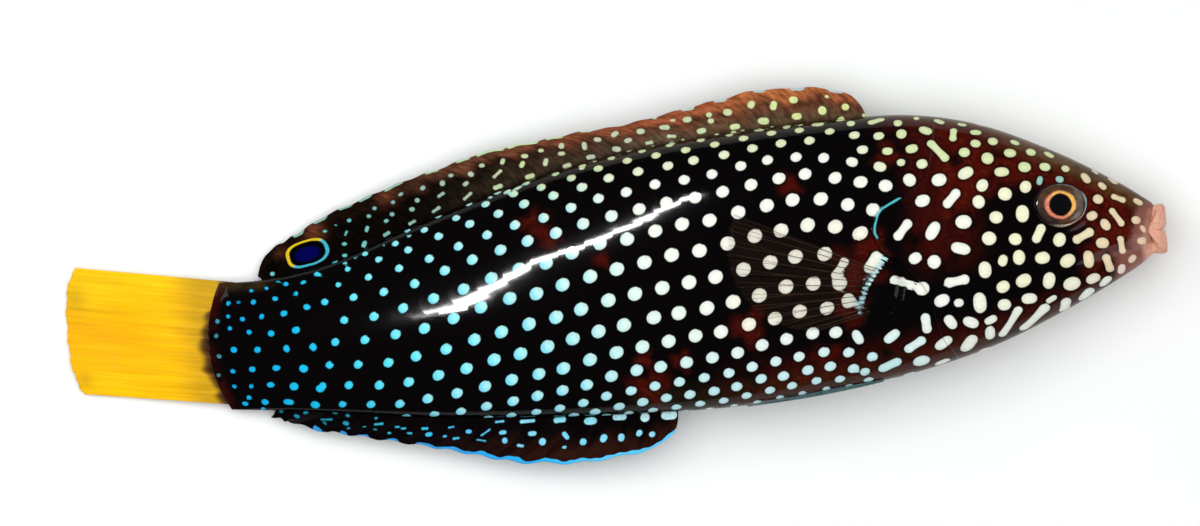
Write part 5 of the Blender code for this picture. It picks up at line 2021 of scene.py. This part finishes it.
@dataclass
class AnalFin(RidgeFin):
    """Near-black fin on the belly, with cyan dashes and a bright blue margin."""

    node: str = "anal_fin"
    slot: str = "dark_fin"
    rays: int = 15
    columns: int = 260
    rows: int = 32
    spines: int = 3
    ray_radius: float = 0.12
    roots: Pair = (4.7, -33.0)
    sweep: Pair = (0.5, 4.2)
    outward: int = -1
    droop: float = 0.26
    scallop: float = 0.2
    film: FinFinish = FinFinish(spotted=True, streak=0.4, coat=0.08)
    ray_film: FinFinish = FinFinish(spotted=True, streak=0.4, coat=0.08)
    edge: Curve = Curve(
        (4.6, -14.3), (3.2, -15.4), (2.2, -15.95), (-0.3, -16.35), (-3.1, -16.6), (-5.9, -16.65),
        (-7.7, -16.4), (-10.0, -16.2), (-12.4, -15.65), (-14.9, -14.95), (-18.3, -14.0),
        (-21.7, -13.15), (-24.4, -12.5), (-27.2, -11.8), (-29.7, -11.2), (-31.0, -10.6), (-33.6, -9.6),
    )
    marks: Spots = spots(
        (1.62, -12.88, 0.98, 0.96), (3.9, -12.88, 1.75, 0.95), (-0.76, -12.6, 1.5, 0.75),
        (-3.56, -12.73, 1.4, 0.75), (-6.4, -12.37, 1.4, 0.6), (-9.45, -12.2, 1.75, 0.4),
        (-12.1, -12.0, 1.1, 0.26), (0.93, -14.33, 0.75, 0.55, 50), (2.15, -14.54, 0.62, 0.56),
        (-0.8, -14.57, 0.85, 0.68, 80), (-2.46, -14.49, 0.92, 0.68, 55), (-4.42, -14.65, 0.75, 0.68, 60),
        (-6.24, -14.99, 0.48, 0.3), (-6.0, -13.9, 1.0, 0.5, -60), (-8.23, -14.27, 0.78, 0.7, 60),
        (-10.35, -14.45, 0.78, 0.34, -15), (-11.77, -13.82, 0.68, 0.58, 90), (-9.13, -13.4, 0.95, 0.48),
        (-11.9, -13.05, 0.82, 0.42), (-13.5, -12.9, 1.35, 0.22, 30), (-14.0, -13.6, 1.1, 0.16, -15),
        (-15.1, -12.67, 0.62, 0.42, -5), (-16.33, -13.2, 0.78, 0.28), (-16.7, -12.1, 0.72, 0.22, 5),
        (-17.4, -12.9, 0.4, 0.22), (-18.87, -12.58, 0.74, 0.42, 10), (-19.2, -12.0, 0.8, 0.3, -5),
        (-20.7, -12.3, 0.62, 0.22, -10), (-21.2, -11.8, 0.55, 0.22), (-21.8, -11.6, 0.55, 0.2),
        (-22.6, -12.1, 0.42, 0.28), (-23.5, -11.17, 1.05, 0.28), (-23.9, -11.65, 0.42, 0.16, -20),
        (-23.7, -10.6, 0.3, 0.2), (-24.9, -11.3, 0.42, 0.15), (-26.6, -10.8, 0.66, 0.36, -20),
        (-26.4, -11.3, 0.32, 0.13), (-26.36, -10.1, 0.46, 0.26, -25), (-28.4, -10.28, 1.35, 0.2, -5),
        (-28.6, -10.6, 0.55, 0.2, -50), (-27.5, -9.7, 0.55, 0.3, -10), (-30.3, -9.44, 0.5, 0.26, 5),
        (-31.2, -9.7, 0.6, 0.3, -25), (-32.6, -9.1, 0.42, 0.32),
    )
    margin_bits: Path = ((-20.3, 4.6), (-23.0, -21.7), (-25.8, -24.5), (-27.3, -26.5), (-29.8, -28.8))
    black: Colour = (0.0025, 0.0015, 0.002)
    brown: Colour = (0.026, 0.007, 0.004)
    tints: tuple[tuple[float, Colour], ...] = (
        (2.0, (0.62, 0.96, 0.99)), (-4.0, (0.30, 0.84, 0.98)), (-10.0, (0.30, 0.80, 0.97)),
        (-13.0, (0.12, 0.58, 0.95)), (-19.0, (0.045, 0.58, 0.92)), (-24.0, (0.035, 0.42, 0.56)),
        (-28.0, (0.012, 0.27, 0.40)),
    )
    trims: tuple[tuple[float, Colour], ...] = (
        (-3.0, (0.10, 0.58, 0.95)), (-9.0, (0.025, 0.44, 0.93)), (-22.0, (0.03, 0.28, 0.66)),
    )

    def hues(self, points: Array, u: Array, v: Array) -> Array:
        """Colour of the membrane, browner in front and towards the edge."""
        wave = 0.08 * np.sin(u * 52) + 0.05 * np.sin(u * 121 + 1)
        share = ease(0.3, 0.8, v + wave) * ease(-22, -4, points[:, 0]) * 0.9
        return tinted(np.tile(self.black, (len(u), 1)), self.brown, share)

    def tint(self, x: Array, y: Array) -> Array:
        """Colour of each mark, palest near the body in front."""
        deep = ease(0.9, 1.8, self.line(x) - y) * ease(-14, -4, x)
        return tinted(ramp(x, *self.tints), (0.16, 0.70, 0.99), deep * 0.6)

    def trim(self, x: Array) -> tuple[Array, Array]:
        """Colour and width of the margin, which narrows to the rear."""
        uneven = 1 + 0.22 * np.sin(2.1 * x) + 0.14 * np.sin(5.3 * x + 1)
        return ramp(x, *self.trims), mix(0.24, 0.36, ease(-20, -12, x)) * uneven


@dataclass
class TailFin(Fin):
    """Broad golden tail fin that lies almost on the floor."""

    node: str = "tail_fin"
    slot: str = "yellow_fin"
    rays: int = 14
    columns: int = 220
    rows: int = 70
    ray_radius: float = 0.07
    tip_thickness: float = 0.14
    sag: float = 0.01
    ribbing: float = 0.05
    film: FinFinish = FinFinish(streak=0.10, streaks_across=50.0, roughness=0.32, glow=0.15)
    ray_film: FinFinish = FinFinish(streak=0.06, streaks_across=50.0, roughness=0.32, glow=0.15)
    end_top: Pair = (-50.85, 6.25)
    end_bottom: Pair = (-51.05, -5.75)
    bulge: float = 1.15
    corner: float = 3.2
    dark_edge: Curve = Curve(
        (3.7, -37.0), (2.3, -37.2), (1.1, -38.0), (0.6, -38.6), (-0.6, -38.9), (-1.4, -39.3),
        (-3.2, -39.3), (-4.0, -39.1), (-4.8, -39.2), (-5.9, -38.4), (-7.0, -38.2), (-8.2, -37.9),
    )
    heights: Pair = (0.85, 0.36)
    overlap: float = 1.6
    gold: Colour = (0.96, 0.50, 0.002)
    lemon: Colour = (0.97, 0.56, 0.003)
    orange: Colour = (0.97, 0.37, 0.003)
    olive: Colour = (0.50, 0.29, 0.010)
    maroon: Colour = (0.055, 0.010, 0.004)
    black: Colour = (0.004, 0.002, 0.002)

    def place(self, u: Array, v: Array) -> Array:
        """Points of the middle surface, its root inside the stalk.

        Args:
            u: share from the upper to the lower edge.
            v: share from the root to the end.

        Returns:
            Points in millimetres.
        """
        form = self.form
        y = mix(form.tail_mid[1] + form.tail_half, form.tail_mid[1] - form.tail_half, u)
        start = np.stack([form.tail_root(y) + self.overlap, y, np.full_like(y, self.heights[0])], -1)
        end_x = mix(self.end_top[0], self.end_bottom[0], u)
        end_x = end_x - self.bulge * (1 - np.minimum(1.0, np.abs(2 * u - 1)) ** self.corner)
        end_y = mix(self.end_top[1], self.end_bottom[1], u)
        point = mix(start, np.stack([end_x, end_y, 0 * y], -1), v[..., None])
        fall = np.clip((v - 0.1) * 1.7, 0, 1)
        ripple = 0.07 * np.sin(u * 9.0 + 1.2) * ease(0.35, 1.0, v)
        point[..., 2] = np.maximum(mix(self.heights[0], self.heights[1], fall) + ripple, 0.16)
        ragged = 0.06 * np.sin(u * 31.0) + 0.04 * np.sin(u * 83.0 + 1.0) + 0.02 * np.sin(u * 229.0)
        point[..., 0] += ragged * ease(0.9, 1.0, v)
        return point

    def hues(self, points: Array, u: Array, v: Array) -> Array:
        """Golden with an orange middle, an olive root and olive patches at the end's corners."""
        x, y = points[:, 0], points[:, 1]
        hue = tinted(np.tile(self.gold, (len(x), 1)), self.lemon, ease(1.5, 4.5, y))
        hue = tinted(hue, self.orange, np.exp(-(((y + 0.9) / 2.4) ** 2)) * ease(-41, -48, x) * 0.6)
        hue = tinted(hue, self.olive, ease(-43.0, -39.2, x) * 0.75)
        for cx, cy, wide, high in ((-51.2, 3.2, 1.3, 1.6), (-50.9, -4.4, 0.9, 0.9)):
            dusk = np.exp(-(((x - cx) / wide) ** 2) - ((y - cy) / high) ** 2)
            hue = tinted(hue, self.olive, dusk * 0.6)
        lobes = 0.36 * np.abs(np.sin(1.9 * y + 0.4 * np.sin(y))) - 0.2
        past = x - self.dark_edge(y) + lobes + 0.03 * np.sin(y * 7.0 + 1)
        hue = tinted(hue, self.maroon, ease(-0.65, 0.05, past) * 0.9)
        return tinted(hue, self.black, ease(-0.05, 0.5, past) * 0.8)


@dataclass
class PectoralFin(Fin):
    """Clear fan of a flank: the right one lies on the skin, the left one on the floor."""

    node: str = "pectoral_fin"
    slot: str = "clear_fins"
    rays: int = 13
    columns: int = 120
    rows: int = 30
    root_thickness: float = 0.14
    tip_thickness: float = 0.08
    ray_radius: float = 0.055
    ray_kind: RayKind = RayKind.FINE
    sag: float = 0.015
    film: FinFinish = FinFinish(alpha=0.035, streak=0.5, roughness=0.2)
    ray_film: FinFinish = FinFinish(alpha=0.5, streak=0.3)
    axis: float = 163.0
    root_from: float = 110.0
    root_to: float = 228.0
    tip_from: float = 147.0
    tip_to: float = 207.0
    long: float = 15.8
    short: float = 6.8
    fall: float = 1.8
    tan: Colour = (0.075, 0.042, 0.026)

    def place(self, u: Array, v: Array) -> Array:
        """Points of the middle surface, just off the flank or the floor.

        Args:
            u: share from the leading ray to the last one.
            v: share from the root to the outer edge.

        Returns:
            Points in millimetres.
        """
        form = self.form
        turn = np.radians(mix(self.root_from, self.root_to, u) - self.axis)
        axis = radians(self.axis)
        near = form.pad_radii[0] * 0.78 * np.cos(turn), form.pad_radii[1] * 0.92 * np.sin(turn)
        cx, cy = form.pad_centre
        sx = cx + cos(axis) * near[0] - sin(axis) * near[1]
        sy = cy + sin(axis) * near[0] + cos(axis) * near[1]
        tip = np.radians(mix(self.tip_from, self.tip_to, u))
        reach = mix(self.long, self.short, np.clip(u, 0, 1) ** self.fall)
        reach = reach - 0.25 * np.abs(np.sin(u * (self.rays - 1) * pi)) * v**4
        x, y = mix(sx, cx + reach * np.cos(tip), v), mix(sy, cy + reach * np.sin(tip), v)
        if self.side is Flank.RIGHT:
            z = form.surface(x, form.angle_at(x, y))[..., 2]
            z = z + 0.26 + 0.59 * ease(0.35, 0.0, v) + 0.08 * np.sin(u * 7) * v
        else:
            z = np.full_like(x, 0.38) + 0.25 * ease(0.3, 0.0, v)
        return np.stack([x, y, z], -1)

    def hues(self, points: Array, u: Array, v: Array) -> Array:
        """Even brown, darker at the root."""
        return mix(np.array(self.tan) * 0.5, np.array(self.tan), ease(0.0, 0.3, v)[:, None])


@dataclass
class PelvicFin(Fin):
    """Small folded fin that lies back along its side of the belly."""

    node: str = "pelvic_fin"
    slot: str = "clear_fins"
    rays: int = 6
    columns: int = 40
    rows: int = 50
    root_thickness: float = 0.16
    tip_thickness: float = 0.08
    ray_radius: float = 0.06
    ray_kind: RayKind = RayKind.FINE
    sag: float = 0.015
    film: FinFinish = FinFinish(alpha=0.16, streak=0.4)
    ray_film: FinFinish = FinFinish(alpha=0.4, streak=0.3)
    root: float = 24.3
    length: float = 13.0
    angle: float = 170.0
    spread: float = 5.5
    off_skin: float = 0.12
    lift: float = 0.14
    teal: Colour = (0.10, 0.22, 0.23)

    def place(self, u: Array, v: Array) -> Array:
        """Points of the middle surface, just off the belly.

        Args:
            u: share across the rays.
            v: share from the root to the tip.

        Returns:
            Points in millimetres.
        """
        form = self.form
        x = self.root - self.length * v
        wide = np.sin(pi * mix(0.04, 0.97, v)) * mix(1.0, 0.5, v)
        angle = np.radians(self.angle - (u - 0.5) * 2 * self.spread * wide) * self.side.value
        step = 1e-3
        here = form.surface(x, angle)
        along = form.surface(x + step, angle) - form.surface(x - step, angle)
        round_ = form.surface(x, angle + step) - form.surface(x, angle - step)
        out = np.cross(round_, along)
        out /= np.linalg.norm(out, axis=-1)[..., None] + 1e-12
        return here + out * (self.off_skin + self.lift * v * v)[..., None]

    def hues(self, points: Array, u: Array, v: Array) -> Array:
        """Even grey-green."""
        return np.tile(self.teal, (len(points), 1))


# Eyes


@dataclass
class Eye:
    """One eye: a shallow dome with its pupil, and the soft fold of skin round it."""

    form: BodyForm
    side: Flank
    centre: Pair = EYE_CENTRE
    radii: Pair = (2.40, 1.97)
    dome: float = 0.62
    sunk: float = 0.12
    rim_radii: Pair = (2.46, 2.02)
    rim_width: float = 0.20
    rim_height: float = 0.17

    def seat(self, x: Array, y: Array) -> Array:
        """Z of the head's smooth surface, gill lift included."""
        rise = self.form.gill_rise(x, y)
        return self.form.surface(x, self.side.value * self.form.angle_at(x, y), rise)[..., 2]

    def dome_piece(self) -> Thing:
        """The eyeball's visible dome, closed behind."""
        rings, sides = 22, 72
        turn = np.arange(sides) * 2 * pi / sides
        r, a = np.meshgrid(np.linspace(0.03, 1.0, rings), turn, indexing="ij")
        x = self.centre[0] + self.radii[0] * r * np.cos(a)
        y = self.centre[1] + self.radii[1] * r * np.sin(a)
        flat = self.seat(np.array(self.centre[0]), np.array(self.centre[1]))
        height = self.dome * np.sqrt(np.clip(1 - (r * 0.97) ** 2, 0, 1)) - self.sunk
        front = np.stack([x, y, mix(self.seat(x, y), flat, 0.35) + self.side.value * height], -1)
        deep = front[-1:].copy()
        deep[..., 2] -= self.side.value * 0.8
        faces = grid_faces(rings + 1, sides, closed=True).tolist()
        faces += [list(range(sides)), list(range(rings * sides, (rings + 1) * sides))]
        points = np.concatenate([front, deep]).reshape(-1, 3)
        return face_outwards(mesh_object(f"eye_{self.side.name.lower()}_dome", points, faces))

    def rim_piece(self) -> Thing:
        """The soft fold round the eye."""
        around, sides = 96, 16
        turn = np.arange(around) * 2 * pi / around
        roll = np.arange(sides) * 2 * pi / sides
        t, k = np.meshgrid(turn, roll, indexing="ij")
        wave = 1 + 0.10 * np.sin(3 * t + 0.7) + 0.06 * np.sin(7 * t)
        out = self.rim_width * wave * np.cos(k) * np.where(np.cos(k) > 0, 1.35, 0.9)
        x = self.centre[0] + (self.rim_radii[0] + out) * np.cos(t)
        y = self.centre[1] + (self.rim_radii[1] + out) * np.sin(t)
        z = self.seat(x, y) + self.side.value * (self.rim_height * wave * np.sin(k) - 0.06)
        points = np.stack([x, y, z], -1).reshape(-1, 3)
        faces = grid_faces(around, sides, closed=True)
        last, after = (around - 1) * sides, (np.arange(sides) + 1) % sides
        seam = np.stack([last + np.arange(sides), last + after, after, np.arange(sides)], -1)
        name = f"eye_{self.side.name.lower()}_rim"
        obj = face_outwards(mesh_object(name, points, np.concatenate([faces, seam])))
        bearing = (np.degrees(t) + 180) % 360 - 180
        # Shares of the painted highlight along the fold's lower and front edge, and of its cooler front part
        highlight_crescent = ease(-125, -85, bearing) * ease(38, 12, bearing)
        fold = [highlight_crescent, ease(-50, -5, bearing), (1 - np.cos(k)) / 2]
        give_values(obj, "fold", np.stack([part.ravel() for part in fold], -1))
        return obj


# The stage


@dataclass
class Studio:
    """Pale floor, soft lights and a camera that looks straight down, as in the photograph."""

    frame_width: float = 0.1132
    middle: Pair = (-0.00124, 0.00203)
    turn: float = -5.4
    lens: float = 300.0
    sensor: float = 36.0
    focus_height: float = 0.005
    overhead: float = 15.0
    keys: Pair = (0.9, 0.7)
    streak_ends: Path = (
        (-0.0378, 0.0006), (-0.0348, 0.0062), (-0.0273, 0.0158), (-0.0186, 0.0184),
        (-0.0112, 0.0256), (-0.0016, 0.0386),
    )
    streak_height: float = 0.06
    streak_width: Pair = (0.0020, 0.0010)
    streak_glow: float = 1150.0
    sky: Colour = (0.85, 0.9, 1.0)
    sky_strength: float = 0.09

    def floor(self) -> None:
        """A wide pale floor with a faint mottled finish."""
        bpy.ops.mesh.primitive_plane_add(size=4.0)
        floor = bpy.context.object
        floor.name = "floor"
        s = Shading("floor_paper")
        colour = s.blend((0.86, 0.88, 0.86), (0.92, 0.93, 0.92), s.noise(30, 2))
        floor.data.materials.append(s.finish(colour, 0.6, specular_ior_level=0.2))

    def lamp(self, name: str, place: Vector, size: Pair, power: float, along: Vector | None = None) -> Thing:
        """A soft box that faces the fish.

        Args:
            name: its name.
            place: where it is.
            size: its two sides.
            power: in watts.
            along: direction of its first side, if that matters.

        Returns:
            The lamp.
        """
        data = bpy.data.lights.new(name, "AREA")
        data.shape = "RECTANGLE"
        data.size, data.size_y = size
        data.energy = power
        obj = bpy.data.objects.new(name, data)
        bpy.context.scene.collection.objects.link(obj)
        back = place.normalized()
        if along is None:
            obj.rotation_euler = back.to_track_quat("Z", "Y").to_euler()
        else:
            first = (along - back * along.dot(back)).normalized()
            obj.rotation_euler = Matrix((first, back.cross(first), back)).transposed().to_euler()
        obj.location = place
        return obj

    def camera(self) -> None:
        """The camera over the fish, turned as the photograph shows it."""
        data = bpy.data.cameras.new("camera")
        data.lens = self.lens
        data.sensor_width = self.sensor
        data.clip_start = 0.01
        obj = bpy.data.objects.new("camera", data)
        bpy.context.scene.collection.objects.link(obj)
        far = self.frame_width * self.lens / self.sensor
        obj.location = (*self.middle, self.focus_height + far)
        obj.rotation_euler = (0, 0, radians(self.turn))
        bpy.context.scene.camera = obj

    def build(self) -> None:
        """Sets up the floor, lights, world and camera."""
        self.floor()
        roof = self.lamp("overhead", Vector((-0.05, 0.1, 0.95)), (1.5, 1.5), self.overhead)
        roof.visible_glossy = False
        self.lamp("key_left", Vector((-0.55, 0.35, 0.42)), (0.3, 0.3), self.keys[0])
        self.lamp("key_right", Vector((0.6, -0.3, 0.42)), (0.3, 0.3), self.keys[1])
        ends = [Vector((*end, self.streak_height)) for end in self.streak_ends]
        for number, (first, last) in enumerate(zip(ends, ends[1:])):
            size = ((last - first).length, mix(*self.streak_width, number / (len(ends) - 2)))
            power = self.streak_glow * size[0] * size[1]
            streak = self.lamp(f"streak_{number}", (first + last) / 2, size, power, last - first)
            streak.visible_diffuse = streak.visible_camera = False
        world = bpy.data.worlds.new("studio")
        bpy.context.scene.world = world
        world.use_nodes = True
        world.node_tree.nodes["Background"].inputs[0].default_value = (*self.sky, 1)
        world.node_tree.nodes["Background"].inputs[1].default_value = self.sky_strength
        bpy.context.scene.view_settings.view_transform = "Standard"
        self.camera()


def main() -> None:
    """Builds every piece in order."""
    form = BodyForm()
    markings = Markings(form)
    skin = SkinSurface(form, markings).build()
    flesh = ("head", "torso", "tail_stalk", "upper_lip", "lower_lip")
    hand_over(skin, WetSkin().material("wet_skin"), flesh, "skin with gill covers and lips")

    shingles = ScaleCoat.tree()
    scaly = WetSkin(scaly=True).material("wet_scales")
    for side in Flank:
        coat = ScaleCoat(form, markings, side).build(shingles, scaly)
        hand_over(coat, scaly, (), "overlapping scales")

    for side in Flank:
        eye, word = Eye(form, side), f"eye_{side.name.lower()}"
        hand_over(eye.dome_piece(), EyeFinish().material(f"{word}_gloss"), (word,), "eye")
        hand_over(eye.rim_piece(), RimFinish().material(f"{word}_fold"), (), "fold round the eye")

    ridge = tuple(m for m in markings.flank.ridge + markings.flank.nape if m.y > form.back(m.x) - 0.8)
    fins: list[Fin] = [DorsalFin(form), AnalFin(form), TailFin(form)]
    fins[0].marks += ridge
    for kind in (PectoralFin, PelvicFin):
        fins += [kind(form, side, f"{kind.node}_{side.name.lower()}") for side in Flank]
    rays = Fin.tree()
    for fin in fins:
        film = fin.film.material(f"{fin.node}_film")
        hand_over(fin.membrane(), film, (fin.node,), "fin membrane")
        finish = fin.ray_film.material(f"{fin.node}_ray")
        hand_over(fin.build_rays(rays, finish), finish, (), "fin rays")

    Studio().build()


if __name__ == "__main__":
    main()
